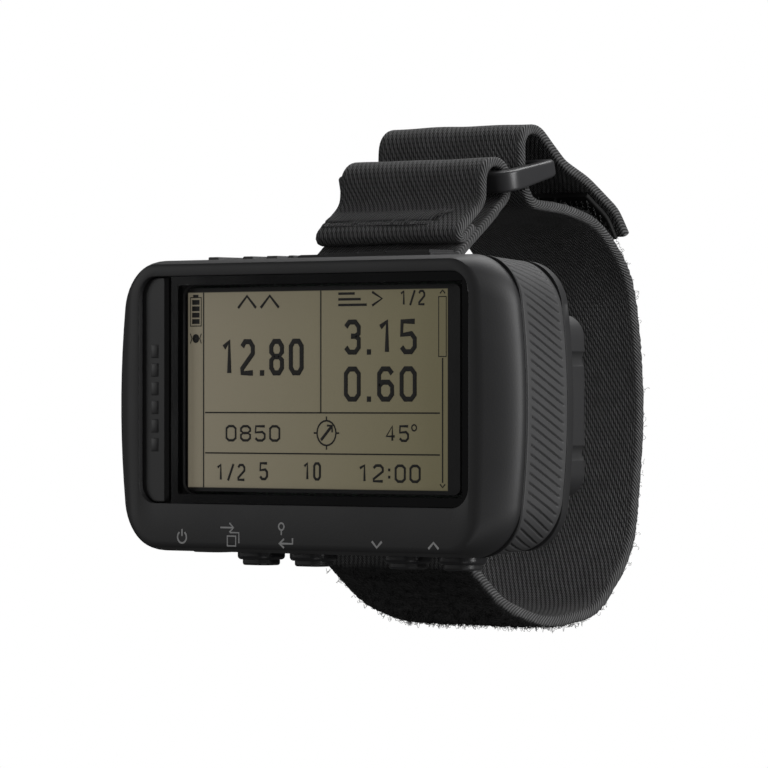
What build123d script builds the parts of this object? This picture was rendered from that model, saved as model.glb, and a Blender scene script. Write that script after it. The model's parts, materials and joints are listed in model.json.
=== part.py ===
from build123d import *
import os
from math import atan2, cos, hypot, radians, sin

# Wrist-worn navigation receiver on an elastic strap.
# Frame: X runs along the case, from its left end to its right end as the wearer reads it, and along the
# forearm. Y runs from the display to the wrist. Z is up across the display. The origin is on the forearm
# axis, in the middle of the strap loop. A "depth" is a distance behind the front face of the case.

os.makedirs("parts", exist_ok=True)

# ---- driving dimensions, in millimetres ----
CASE_WIDTH = 74.5            # widest, at the rim
CASE_HEIGHT = 42.1           # tallest, at the rim
WRIST_DEPTH = 43.0           # front face to forearm axis
FRONT_WIDTH = CASE_WIDTH - 9.7  # flat front face
FRONT_HEIGHT = CASE_HEIGHT - 1.4
FRONT_RADIUS = 4.6
RIM_RADIUS = 7.2
END_BULGE = 2.0              # how far each end bows out at the rim
RIM_DEPTH = 4.2
PARTING_DEPTH = 4.9          # front case meets rear case
REAR_DEPTH = 17.0            # rear face of the rear case
TAPER = 0.13                 # width lost per millimetre of depth behind the rim, total of both sides
FRONT_WALL = 2.4
REAR_WALL = 1.6
SIDE_WALL = 3.2              # wall of the front case behind its shoulder
HOLLOW_SIDE = 3.85           # case edge to the hollow of the rear case, at each end
HOLLOW_TOP = 3.15            # the same, above and below

POST_X = CASE_WIDTH / 2 - 6.35  # case screws
POST_Z = CASE_HEIGHT / 2 - 4.95
POST_RADIUS = 2.5
SCREW_RADIUS = 0.9
SCREW_HEAD_RADIUS = 1.7
SCREW_TOP = 2.9              # depth of the screws' tips
SCREW_SINK = 1.9             # seats of their heads below the rear face

WINDOW_LEFT = -24.4
WINDOW_RIGHT = 30.8
WINDOW_LOW = -14.0
WINDOW_HIGH = 18.6
WINDOW_RADIUS = 3.0
GLASS_SET = 0.35             # window below the front face
GLASS_THICK = 1.1
GASKET_THICK = 0.2
LEDGE = 1.3                  # ledge under the edge of the window
STRIP_LEFT = -30.3
STRIP_RIGHT = -25.6
STRIP_THICK = 0.9
FIT_GAP = 0.08               # gap all round between fixed pieces that drop into each other

DISPLAY_WIDTH = 50.6
DISPLAY_HEIGHT = 29.2
DISPLAY_RADIUS = 1.0
DISPLAY_THICK = 1.9
DISPLAY_DEPTH = 1.9
DISPLAY_CENTRE_X = 2.6
DISPLAY_CENTRE_Z = 2.3
BACKLIGHT_THICK = 0.9

BAND_START = 5.3
BAND_END = 15.0
BAND_THICK = 0.9
GROOVE_WIDTH = 0.26
GROOVE_DEEP = 0.32
GROOVE_PITCH = 1.3
GROOVE_COUNT = 2 * int(CASE_HEIGHT / 2 / GROOVE_PITCH) - 1
GROOVE_SLOPE = 25.0          # degrees, falling to the rear
GROOVE_MARGIN = 0.9          # plain edge in front of and behind the grooves
GROOVE_FROM_X = CASE_WIDTH / 2 - 9.75  # the grooves stay outside this
RIB_FRONT = 6.0              # raised rib along the top edge
RIB_BACK = 12.6
RIB_LEFT = -22.3
RIB_HIGH = CASE_HEIGHT / 2 + 0.45
RIB_NOTCHES = ((-20.4, -15.6), (-13.8, -11.1), (-9.2, -7.0))

BOARD_DEPTH = 6.6
BOARD_THICK = 1.0
SHIELD_CENTRE = (-12.0, 2.0)
SHIELD_SIZE = (15.0, 12.0)
SHIELD_HIGH = 1.3
SHIELD_WALL = 0.25
ANTENNA_SIZE = 8.2
ANTENNA_Z = 8.7
BUZZER_RADIUS = 3.6
BUZZER_Z = -8.4
PART_HIGH = 2.2              # antenna and buzzer above the board
VENT_CENTRE = (24.0, 15.4)
VENT_RADIUS = 0.6

CELL_RADIUS = 5.2
CELL_LENGTH = 44.5
CELL_NUB = 1.0
CELL_GAP = 0.3               # under and over the cells
CELL_PITCH = 2 * CELL_RADIUS + 0.4
BAY_LEFT = -30.5             # battery bay
BAY_RIGHT = BAY_LEFT + CELL_LENGTH + 6.0
BAY_HALF_HEIGHT = CELL_PITCH / 2 + CELL_RADIUS + 0.7
BAY_FLOOR = 10.4
BAY_WALL = 1.0
BAY_CLEAR = 0.3              # cover's hollow past the bay, at each end
CELL_DEPTH = BAY_FLOOR + CELL_GAP + CELL_RADIUS
SPRING_TURNS = 5
SPRING_RADIUS = 2.4
SPRING_WIRE = 0.25

COVER_WIDTH = CASE_WIDTH - 6.9
COVER_HALF_HEIGHT = BAY_HALF_HEIGHT + 1.5
COVER_RADIUS = 3.4
COVER_WALL = 1.5
COVER_BACK = CELL_DEPTH + CELL_RADIUS + CELL_GAP + COVER_WALL
COVER_START = 17.25
COVER_SEAL = 0.2
FOAM_LEFT = -20.0            # foam strips that keep the cells quiet
FOAM_RIGHT = 14.0
FOAM_HALF = 2.0
BOSS_RADIUS = 3.6
INSERT_RADIUS = 2.4
INSERT_LENGTH = 4.2
CHANNEL_DEEP = 0.8           # strap channel across the cover
SCALLOP_RADIUS = 1.6
LATCH_X = BAY_RIGHT + 6.6
LATCH_HEAD_RADIUS = 3.4
LATCH_SHANK_RADIUS = 1.5
LATCH_POCKET_RADIUS = 6.0
LATCH_POCKET_DEEP = 2.3
LATCH_SEAT = 19.0
LATCH_BRIDGE = (2.8, 4.0)    # across and along the D-ring's pivot
D_DEPTH = COVER_BACK - 1.0   # the folded D-ring's middle
D_RADIUS = 4.2
D_WIRE = 0.6
D_BEND = 1.0
RUN_GAP = 0.06               # radial gap of everything that turns or slides in a bore

BUTTON_DEPTH = 8.1
BUTTON_X = {"power": -23.0, "page": -13.9, "enter": -4.0, "down": 13.5, "up": 23.3}
COLLAR = (6.6, 5.2, 1.9)     # length, depth, corner radius
CAP = (5.3, 4.1, 1.6)
POWER_CAP = (6.0, 4.6, 1.7)
COLLAR_LOW = -CASE_HEIGHT / 2 - 1.1
CAP_LOW = -CASE_HEIGHT / 2 - 1.9
POWER_LOW = -CASE_HEIGHT / 2 - 0.2
POCKET_TOP = -CASE_HEIGHT / 2 + 1.75  # roof of each button pocket
CAP_TOP = -CASE_HEIGHT / 2 + 1.1
BUTTON_TRAVEL = 0.5
STEM_RADIUS = 1.0
STEM_TOP = -CASE_HEIGHT / 2 + 5.45
SWITCH_GAP = BUTTON_TRAVEL + 0.1  # from stem to switch
SWITCH_NUB = 0.7
SWITCH_HALF = 1.7
SWITCH_LONG = 2.2
SEAL_RADIUS = 1.75
SEAL_DEEP = 0.8

CAP_LEFT = -5.2              # rubber cap over the socket
CAP_RIGHT = 19.6
CAP_DEPTH_SIZE = 6.6
CAP_CORNER = 0.4
CAP_SEAT = CASE_HEIGHT / 2 - 1.7  # floor of the seat that the rubber cap lies in
CAP_HIGH = CASE_HEIGHT / 2 + 0.85
PLATE_HALF = 2.7             # half the depth of the plates on the cap
CAP_PLATES = ((5.6, 5.3, 0.2), (11.2, 4.8, 0.1), (16.3, 7.8, 0))
USB_X = 9.0
USB_DEPTH = 8.9
USB_WIDTH = 7.8
USB_HEIGHT = 2.9
SOCKET_WIDTH = 7.5           # the socket behind the opening
SOCKET_HIGH = 2.55
SOCKET_LONG = 4.6

STRAP_WIDTH = 27.0
HALF_STRAP = STRAP_WIDTH / 2
STRAP_THICK = 1.5
STRAP_ROOM = 0.7             # beside the strap, wherever it runs between two sides
BAR_DEPTH = COVER_BACK - 1.2   # strap bars at the top and bottom of the back
BAR_Z = CASE_HEIGHT / 2 - 1.75
BAR_RADIUS = 1.2
BAR_HALF_LENGTH = HALF_STRAP + STRAP_ROOM
POST_THICK = 2.4

RING_FRONT = (BAR_DEPTH + 6.7, BAR_Z + 12.9)  # depth and height of the ring's front bar
RING_TILT = 13.0             # degrees, rear bar higher
RING_LENGTH = 12.6
RING_SIDE = 2.4
RING_HALF_WIDTH = HALF_STRAP + STRAP_ROOM + RING_SIDE
RING_FRONT_BAR = 2.6
RING_REAR_BAR = 2.4
RING_THICK_FRONT = 3.0
RING_THICK_REAR = 2.2
RING_RADIUS = 2.6
RING_BEND = 2.15             # inside of the strap where it goes round the front bar
FOLD_RADIUS = RING_BEND + STRAP_THICK / 2  # centreline of the strap round the front bar
HOOK_THICK = 1.2
HEM_LENGTH = 4.6
HEM_THICK = 1.4
HEM_ALONG = 4.47              # from the bar to the hem, along the band
HEM_GAP = 0.19                # hem to the band under it
TAB_END_BEND = 5.0
PEEL_AXIS = (BAR_DEPTH + 20.05, BAR_Z + 17.85)  # where the loose end starts to peel
BAR_GAP = 0.15               # strap to strap bar


# ---- helpers ----
def at_depth(depth):
    """Plane parallel to the display at a depth; a positive extrude goes towards the reader."""
    return Plane.XZ.offset(WRIST_DEPTH - depth)


def behind(depth):
    """The Y of a depth."""
    return depth - WRIST_DEPTH


def side_point(depth, height):
    """A point of a side view, as Plane.YZ sees it."""
    return (behind(depth), height)


def case_outline(width, height, radius, bulge):
    """Rounded rectangle whose two ends bow out; drawn in the open BuildSketch."""
    half_w, half_h = width / 2, height / 2
    with BuildLine() as rim:
        Line((bulge - half_w, half_h), (half_w - bulge, half_h))
        ThreePointArc((half_w - bulge, half_h), (half_w, 0), (half_w - bulge, -half_h))
        Line((half_w - bulge, -half_h), (bulge - half_w, -half_h))
        ThreePointArc((bulge - half_w, -half_h), (-half_w, 0), (bulge - half_w, half_h))
    face = make_face(rim.edges())
    fillet(face.vertices(), radius)


def tub_size(depth, inset=0.0):
    """Outline of the case at a depth behind the rim, drawn in by an inset."""
    lost = TAPER * (depth - RIM_DEPTH) + 2 * inset
    return CASE_WIDTH - lost, CASE_HEIGHT - lost, max(RIM_RADIUS - inset, 1.0), END_BULGE


def slab(low, high):
    """Box between two corners given as (X, depth, Z), made on its own."""
    size = [b - a for a, b in zip(low, high)]
    centre = [(a + b) / 2 for a, b in zip(low, high)]
    return Pos(centre[0], behind(centre[1]), centre[2]) * Box(*size, mode=Mode.PRIVATE)


def finish(piece, name):
    piece.part.label = name
    export_step(piece.part, f"parts/{name}.step")


# ---- case shells ----
big = CASE_WIDTH + 20
window_width = WINDOW_RIGHT - WINDOW_LEFT
window_height = WINDOW_HIGH - WINDOW_LOW
window_centre = ((WINDOW_LEFT + WINDOW_RIGHT) / 2, (WINDOW_LOW + WINDOW_HIGH) / 2)
recess_depth = GLASS_SET + GLASS_THICK + GASKET_THICK
screw_points = [(sx * POST_X, sz * POST_Z) for sx in (-1, 1) for sz in (-1, 1)]
hollow = (CASE_WIDTH - 2 * HOLLOW_SIDE, CASE_HEIGHT - 2 * HOLLOW_TOP)

with BuildPart() as rim_body:
    with BuildSketch(at_depth(0)):
        case_outline(FRONT_WIDTH, FRONT_HEIGHT, FRONT_RADIUS, 0.6)
    with BuildSketch(at_depth(RIM_DEPTH * 0.45)):
        case_outline(CASE_WIDTH - 3.9, CASE_HEIGHT - 0.5, RIM_RADIUS - 1.2, END_BULGE * 0.7)
    with BuildSketch(at_depth(RIM_DEPTH)):
        case_outline(*tub_size(RIM_DEPTH))
    loft()

with BuildPart() as tub_body:
    with BuildSketch(at_depth(RIM_DEPTH)):
        case_outline(*tub_size(RIM_DEPTH))
    with BuildSketch(at_depth(REAR_DEPTH)):
        case_outline(*tub_size(REAR_DEPTH))
    loft()

# what the grip band wraps, the room that it takes up outside that, and its plain skin
with BuildPart() as band_core:
    with BuildSketch(at_depth(BAND_START)):
        case_outline(*tub_size(BAND_START, BAND_THICK))
    with BuildSketch(at_depth(BAND_END)):
        case_outline(*tub_size(BAND_END, BAND_THICK))
    loft()

with BuildPart() as band_room:
    add(slab((-big, BAND_START, -big), (big, BAND_END, big)))
    add(band_core.part, mode=Mode.SUBTRACT)

with BuildPart() as band_blank:
    with BuildSketch(at_depth(BAND_START)):
        case_outline(*tub_size(BAND_START))
    with BuildSketch(at_depth(BAND_END)):
        case_outline(*tub_size(BAND_END))
    loft()
    add(band_core.part, mode=Mode.SUBTRACT)

with BuildPart() as front_case:
    add(rim_body.part)
    add(tub_body.part)
    add(slab((-big, PARTING_DEPTH, -big), (big, REAR_DEPTH + 1, big)), mode=Mode.SUBTRACT)
    fillet(front_case.faces().sort_by(Axis.Y)[0].edges(), 0.5)
    # hollow behind the front wall
    with BuildSketch(at_depth(FRONT_WALL)):
        case_outline(CASE_WIDTH - 2 * SIDE_WALL - 2.2, CASE_HEIGHT - 3.6, 4.5, END_BULGE)
    extrude(amount=FRONT_WALL - PARTING_DEPTH, mode=Mode.SUBTRACT)
    # posts that the four screws bite into
    with BuildSketch(at_depth(FRONT_WALL)):
        with Locations(*screw_points):
            Circle(POST_RADIUS)
    extrude(amount=FRONT_WALL - PARTING_DEPTH)
    with BuildSketch(at_depth(PARTING_DEPTH)):
        with Locations(*screw_points):
            Circle(SCREW_RADIUS)
    extrude(amount=PARTING_DEPTH - SCREW_TOP + 0.15, mode=Mode.SUBTRACT)
    # one recess for the window and the strip, then the opening that the display shows through
    with BuildSketch(at_depth(-1)):
        with Locations(((WINDOW_RIGHT + STRIP_LEFT) / 2, window_centre[1])):
            RectangleRounded(WINDOW_RIGHT - STRIP_LEFT + 2 * FIT_GAP, window_height + 2 * FIT_GAP,
                             WINDOW_RADIUS)
    extrude(amount=-(1 + recess_depth), mode=Mode.SUBTRACT)
    with BuildSketch(at_depth(0)):
        with Locations(window_centre):
            RectangleRounded(window_width - 2 * LEDGE, window_height - 2 * LEDGE, WINDOW_RADIUS - 1)
    extrude(amount=-(FRONT_WALL + 0.1), mode=Mode.SUBTRACT)
finish(front_case, "front_case")

with BuildPart() as side_strip:
    with BuildSketch(at_depth(recess_depth)):
        with Locations(((STRIP_LEFT + STRIP_RIGHT) / 2, window_centre[1])):
            Rectangle(STRIP_RIGHT - STRIP_LEFT, window_height - 0.3)
    extrude(amount=STRIP_THICK)
    fillet(side_strip.edges().filter_by(Axis.Y).group_by(Axis.X)[0], WINDOW_RADIUS - 0.2)
    chamfer(side_strip.faces().sort_by(Axis.Y)[0].edges().sort_by(Axis.X)[-1], 0.5)
finish(side_strip, "side_strip")

with BuildPart() as window_lens:
    with BuildSketch(at_depth(GLASS_SET)):
        with Locations(window_centre):
            RectangleRounded(window_width, window_height, WINDOW_RADIUS)
        # the end beside the strip has square corners
        with Locations((window_centre[0] - window_width / 4, window_centre[1])):
            Rectangle(window_width / 2, window_height)
    extrude(amount=-GLASS_THICK)
finish(window_lens, "window_lens")

with BuildPart() as window_gasket:
    with BuildSketch(at_depth(GLASS_SET + GLASS_THICK)):
        with Locations(window_centre):
            RectangleRounded(window_width - 0.2, window_height - 0.2, WINDOW_RADIUS - 0.1)
            RectangleRounded(window_width - 2 * LEDGE, window_height - 2 * LEDGE, WINDOW_RADIUS - 1,
                             mode=Mode.SUBTRACT)
    extrude(amount=-GASKET_THICK)
finish(window_gasket, "window_gasket")

# ---- display stack and board ----
display_centre = (DISPLAY_CENTRE_X, DISPLAY_CENTRE_Z)
with BuildPart() as display_module:
    with BuildSketch(at_depth(DISPLAY_DEPTH)):
        with Locations(display_centre):
            RectangleRounded(DISPLAY_WIDTH, DISPLAY_HEIGHT, DISPLAY_RADIUS)
    extrude(amount=-DISPLAY_THICK)
finish(display_module, "display_module")

with BuildPart() as backlight_plate:
    with BuildSketch(at_depth(DISPLAY_DEPTH + DISPLAY_THICK)):
        with Locations(display_centre):
            RectangleRounded(DISPLAY_WIDTH - 1, DISPLAY_HEIGHT - 1, 0.6)
    extrude(amount=-BACKLIGHT_THICK)
finish(backlight_plate, "backlight_plate")

board_back = BOARD_DEPTH + BOARD_THICK
board_low = STEM_TOP + SWITCH_GAP + SWITCH_NUB
with BuildPart() as main_board:
    with BuildSketch(at_depth(BOARD_DEPTH)):
        RectangleRounded(hollow[0] - 1.6, hollow[1] - 1.0, 2.0)
        with Locations(*screw_points):
            Rectangle(2 * POST_RADIUS + 3.4, 2 * POST_RADIUS + 2.4, mode=Mode.SUBTRACT)
        # clear of the key stems
        with Locations((0, board_low - 10)):
            Rectangle(2 * (POST_X - POST_RADIUS) - 1, 20, mode=Mode.SUBTRACT)
    extrude(amount=-BOARD_THICK)
finish(main_board, "main_board")

with BuildPart() as shield_can:
    with BuildSketch(at_depth(board_back)):
        with Locations(SHIELD_CENTRE):
            RectangleRounded(*SHIELD_SIZE, 0.8)
    extrude(amount=-SHIELD_HIGH)
    with BuildSketch(at_depth(board_back)):
        with Locations(SHIELD_CENTRE):
            RectangleRounded(SHIELD_SIZE[0] - 2 * SHIELD_WALL, SHIELD_SIZE[1] - 2 * SHIELD_WALL, 0.6)
    extrude(amount=SHIELD_WALL - SHIELD_HIGH, mode=Mode.SUBTRACT)
finish(shield_can, "shield_can")

with BuildPart() as gps_antenna:
    with BuildSketch(at_depth(board_back)):
        with Locations((LATCH_X, ANTENNA_Z)):
            Rectangle(ANTENNA_SIZE, ANTENNA_SIZE)
    extrude(amount=-PART_HIGH)
    chamfer(gps_antenna.edges().filter_by(Axis.Y).group_by(Axis.X)[0].sort_by(Axis.Z)[-1], 1.0)
finish(gps_antenna, "gps_antenna")

with BuildPart() as buzzer:
    with BuildSketch(at_depth(board_back)):
        with Locations((LATCH_X, BUZZER_Z)):
            Circle(BUZZER_RADIUS)
    extrude(amount=-PART_HIGH)
    with BuildSketch(at_depth(board_back + PART_HIGH)):
        with Locations((LATCH_X, BUZZER_Z)):
            Circle(0.7)
    extrude(amount=0.8, mode=Mode.SUBTRACT)
finish(buzzer, "buzzer")


# ---- what the keys and the rubber cap cut out of the case wall ----
def pocket_size(name):
    """Plan of a key's pocket; the power key has no collar."""
    if name == "power":
        return POWER_CAP[0] + 2 * RUN_GAP, POWER_CAP[1] + 2 * RUN_GAP, POWER_CAP[2]
    return COLLAR[0] + 2 * FIT_GAP, COLLAR[1] + 2 * FIT_GAP, COLLAR[2]


with BuildPart() as wall_openings:
    for key, x in BUTTON_X.items():
        with BuildSketch(Plane.XY.offset(POCKET_TOP)):
            with Locations((x, behind(BUTTON_DEPTH))):
                RectangleRounded(*pocket_size(key))
        extrude(amount=-6)
        with BuildSketch(Plane.XY.offset(POCKET_TOP)):
            with Locations((x, behind(BUTTON_DEPTH))):
                Circle(STEM_RADIUS + RUN_GAP)
        extrude(amount=3)
        # counterbore of the seal, from inside
        with BuildSketch(Plane.XY.offset(-hollow[1] / 2 - SEAL_DEEP)):
            with Locations((x, behind(BUTTON_DEPTH))):
                Circle(SEAL_RADIUS + 0.03)
        extrude(amount=SEAL_DEEP + 1)
    cap_length = CAP_RIGHT - CAP_LEFT
    cap_centre = ((CAP_LEFT + CAP_RIGHT) / 2, behind(USB_DEPTH))
    with BuildSketch(Plane.XY.offset(CAP_SEAT)):
        with Locations(cap_centre):
            RectangleRounded(cap_length + 0.3, CAP_DEPTH_SIZE + 0.3, CAP_CORNER)
    extrude(amount=6)
    with BuildSketch(Plane.XY.offset(hollow[1] / 2 - 1)):
        with Locations((USB_X, behind(USB_DEPTH))):
            RectangleRounded(USB_WIDTH, USB_HEIGHT, 0.6)
    extrude(amount=6)

# ---- rear case ----
cover_half_width = COVER_WIDTH / 2
with BuildPart() as rear_case:
    add(tub_body.part)
    add(slab((-big, RIM_DEPTH - 1, -big), (big, PARTING_DEPTH, big)), mode=Mode.SUBTRACT)
    fillet(rear_case.faces().sort_by(Axis.Y)[-1].edges(), 0.9)
    add(band_room.part, mode=Mode.SUBTRACT)
    with BuildSketch(at_depth(PARTING_DEPTH)):
        RectangleRounded(*hollow, 4.0)
    extrude(amount=PARTING_DEPTH + REAR_WALL - REAR_DEPTH, mode=Mode.SUBTRACT)
    # battery tray let in from the back
    add(slab((BAY_LEFT - BAY_WALL, BAY_FLOOR - BAY_WALL, -BAY_HALF_HEIGHT - BAY_WALL),
             (BAY_RIGHT + BAY_WALL, REAR_DEPTH - 0.5, BAY_HALF_HEIGHT + BAY_WALL)))
    add(slab((BAY_LEFT, BAY_FLOOR, -BAY_HALF_HEIGHT), (BAY_RIGHT, REAR_DEPTH + 1, BAY_HALF_HEIGHT)),
        mode=Mode.SUBTRACT)
    # boss of the latch insert, and posts round the screws
    with BuildSketch(at_depth(REAR_DEPTH - 0.5)):
        with Locations((LATCH_X, 0)):
            Circle(BOSS_RADIUS)
    extrude(amount=REAR_DEPTH - 0.5 - BAY_FLOOR)
    with BuildSketch(at_depth(REAR_DEPTH)):
        with Locations((LATCH_X, 0)):
            Circle(INSERT_RADIUS + 0.01)
    extrude(amount=INSERT_LENGTH, mode=Mode.SUBTRACT)
    with BuildSketch(at_depth(PARTING_DEPTH)):
        with Locations(*screw_points):
            Circle(POST_RADIUS)
    extrude(amount=PARTING_DEPTH + 0.5 - REAR_DEPTH)
    with BuildSketch(at_depth(REAR_DEPTH + 1)):
        with Locations(*screw_points):
            Circle(SCREW_RADIUS + 0.15)
    extrude(amount=REAR_DEPTH + 2 - PARTING_DEPTH, mode=Mode.SUBTRACT)
    with BuildSketch(at_depth(REAR_DEPTH + 1)):
        with Locations(*screw_points):
            Circle(SCREW_HEAD_RADIUS + 0.1)
    extrude(amount=1 + SCREW_SINK, mode=Mode.SUBTRACT)
    # groove of the case gasket
    with BuildSketch(at_depth(PARTING_DEPTH)):
        RectangleRounded(hollow[0] + 2.7, hollow[1] + 2.7, 5.2)
        RectangleRounded(hollow[0] + 1.1, hollow[1] + 1.1, 4.4, mode=Mode.SUBTRACT)
    extrude(amount=-0.6, mode=Mode.SUBTRACT)
    # pressure vent
    with BuildSketch(at_depth(REAR_DEPTH + 1)):
        with Locations(VENT_CENTRE):
            Circle(VENT_RADIUS)
    extrude(amount=REAR_WALL + 2, mode=Mode.SUBTRACT)
    # strap bars, each on two posts
    for side in (-1, 1):
        with BuildSketch(Plane.YZ.offset(-BAR_HALF_LENGTH - POST_THICK / 2)):
            with Locations(side_point(BAR_DEPTH, side * BAR_Z)):
                Circle(BAR_RADIUS)
        extrude(amount=2 * BAR_HALF_LENGTH + POST_THICK)
        for end in (-1, 1):
            with BuildSketch(Plane.YZ.offset(end * (BAR_HALF_LENGTH + POST_THICK / 2) - POST_THICK / 2)):
                with BuildLine():
                    Polyline(side_point(REAR_DEPTH - 0.6, side * (BAR_Z - 4.6)),
                             side_point(BAR_DEPTH + BAR_RADIUS, side * (BAR_Z - 1.8)),
                             side_point(BAR_DEPTH + BAR_RADIUS, side * (BAR_Z + BAR_RADIUS - 0.6)),
                             side_point(BAR_DEPTH + BAR_RADIUS - 1.2, side * (BAR_Z + BAR_RADIUS)),
                             side_point(REAR_DEPTH - 0.6, side * (BAR_Z + BAR_RADIUS - 1.6)),
                             close=True)
                make_face()
            extrude(amount=POST_THICK)
    add(wall_openings.part, mode=Mode.SUBTRACT)
finish(rear_case, "rear_case")

# ---- grip band: overmoulded skin with slanted grooves at both ends and a raised rib on top ----
with BuildPart() as groove_slabs:
    groove_front = BAND_START + GROOVE_MARGIN
    groove_back = BAND_END - GROOVE_MARGIN
    groove_mid = (groove_front + groove_back) / 2
    groove_run = groove_back - groove_front
    with BuildSketch(Plane.YZ.offset(GROOVE_FROM_X)):
        for row in range(GROOVE_COUNT):
            height = (row - (GROOVE_COUNT - 1) / 2) * GROOVE_PITCH
            with Locations(side_point(groove_mid, height)):
                Rectangle(groove_run / cos(radians(GROOVE_SLOPE)), GROOVE_WIDTH, rotation=-GROOVE_SLOPE)
    extrude(amount=CASE_WIDTH / 2)
    mirror(about=Plane.YZ)

with BuildPart() as groove_limit:
    with BuildSketch(at_depth(BAND_START)):
        case_outline(*tub_size(BAND_START, GROOVE_DEEP))
    with BuildSketch(at_depth(BAND_END)):
        case_outline(*tub_size(BAND_END, GROOVE_DEEP))
    loft()

with BuildPart() as band_grooves:
    add(groove_slabs.part)
    add(groove_limit.part, mode=Mode.SUBTRACT)

with BuildPart() as grip_band:
    add(band_blank.part)
    # rib along the top edge, with notches for the fingertips
    rib_low = tub_size(RIB_BACK)[1] / 2 - 0.3
    add(slab((RIB_LEFT, RIB_FRONT, rib_low), (CAP_LEFT - 0.8, RIB_BACK, RIB_HIGH)))
    for left, right in RIB_NOTCHES:
        add(slab((left, RIB_FRONT + 0.8, RIB_HIGH - 0.45), (right, RIB_BACK + 1, RIB_HIGH + 1)),
            mode=Mode.SUBTRACT)
    add(wall_openings.part, mode=Mode.SUBTRACT)
    add(band_grooves.part, mode=Mode.SUBTRACT)
finish(grip_band, "grip_band")

# ---- fixed pieces between and inside the shells ----
with BuildPart() as case_gasket:
    with BuildSketch(at_depth(PARTING_DEPTH)):
        RectangleRounded(hollow[0] + 2.6, hollow[1] + 2.6, 5.15)
        RectangleRounded(hollow[0] + 1.2, hollow[1] + 1.2, 4.45, mode=Mode.SUBTRACT)
    extrude(amount=-0.55)
finish(case_gasket, "case_gasket")

with BuildPart() as case_screws:
    with BuildSketch(at_depth(SCREW_TOP)):
        with Locations(*screw_points):
            Circle(SCREW_RADIUS)
    extrude(amount=SCREW_TOP - REAR_DEPTH + SCREW_SINK)
    head_depth = REAR_DEPTH - SCREW_SINK
    with BuildSketch(at_depth(head_depth)):
        with Locations(*screw_points):
            Circle(SCREW_HEAD_RADIUS)
    extrude(amount=-1.3)
    with BuildSketch(at_depth(head_depth + 1.3)):
        with Locations(*screw_points):
            RegularPolygon(0.75, 6)
    extrude(amount=0.8, mode=Mode.SUBTRACT)
finish(case_screws, "case_screws")

with BuildPart() as latch_insert:
    with BuildSketch(at_depth(REAR_DEPTH - 0.1)):
        with Locations((LATCH_X, 0)):
            Circle(INSERT_RADIUS)
            Circle(LATCH_SHANK_RADIUS + RUN_GAP, mode=Mode.SUBTRACT)
    extrude(amount=INSERT_LENGTH - 0.1)
finish(latch_insert, "latch_insert")

with BuildPart() as baro_vent:
    with BuildSketch(at_depth(REAR_DEPTH - REAR_WALL)):
        with Locations(VENT_CENTRE):
            Circle(VENT_RADIUS + 0.9)
    extrude(amount=0.25)
finish(baro_vent, "baro_vent")

with BuildPart() as usb_socket:
    socket_high = hollow[1] / 2 - 0.3
    shell_half = SOCKET_WIDTH / 2
    mouth_half = shell_half - 0.45
    tongue_half = shell_half - 1.35
    shell_back = board_back + SOCKET_HIGH
    add(slab((USB_X - shell_half, board_back, socket_high - SOCKET_LONG),
             (USB_X + shell_half, shell_back, socket_high)))
    add(slab((USB_X - mouth_half, board_back + 0.35, socket_high - SOCKET_LONG + 0.8),
             (USB_X + mouth_half, shell_back - 0.35, socket_high)), mode=Mode.SUBTRACT)
    add(slab((USB_X - tongue_half, board_back + 1.0, socket_high - SOCKET_LONG + 0.6),
             (USB_X + tongue_half, board_back + 1.5, socket_high - 0.6)))
finish(usb_socket, "usb_socket")

with BuildPart() as usb_cap:
    cap_low = CAP_SEAT + 0.04
    cap_end = (CAP_HIGH - 0.4 - cap_low) / 2
    add(slab((CAP_LEFT, USB_DEPTH - CAP_DEPTH_SIZE / 2, cap_low),
             (CAP_RIGHT, USB_DEPTH + CAP_DEPTH_SIZE / 2, CAP_HIGH - 0.4)))
    # round end that the cap turns on
    fillet(usb_cap.edges().filter_by(Axis.Y).group_by(Axis.X)[0], cap_end - 0.02)
    fillet(usb_cap.edges().filter_by(Axis.Z).group_by(Axis.X)[-1], CAP_CORNER)
    # stepped plates of the pull tab, each from the cap's left end and below its top
    for left, length, drop in CAP_PLATES:
        add(slab((CAP_LEFT + left, USB_DEPTH - PLATE_HALF, cap_low + 1),
                 (CAP_LEFT + left + length, USB_DEPTH + PLATE_HALF, CAP_HIGH - drop)))
    # plug
    add(slab((USB_X - USB_WIDTH / 2 + 0.35, USB_DEPTH - USB_HEIGHT / 2 + 0.2, CAP_SEAT - 1.15),
             (USB_X + USB_WIDTH / 2 - 0.35, USB_DEPTH + USB_HEIGHT / 2 - 0.2, cap_low + 0.2)))
finish(usb_cap, "usb_cap")

# ---- keys ----
for key, x in BUTTON_X.items():
    size = POWER_CAP if key == "power" else CAP
    low = POWER_LOW if key == "power" else CAP_LOW
    with BuildPart() as button:
        with BuildSketch(Plane.XY.offset(low)):
            with Locations((x, behind(BUTTON_DEPTH))):
                RectangleRounded(*size)
        extrude(amount=CAP_TOP - low)
        fillet(button.faces().sort_by(Axis.Z)[0].edges(), 0.35)
        with BuildSketch(Plane.XY.offset(CAP_TOP)):
            with Locations((x, behind(BUTTON_DEPTH))):
                Circle(STEM_RADIUS)
        extrude(amount=STEM_TOP - CAP_TOP)
    finish(button, f"{key}_button")

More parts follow.
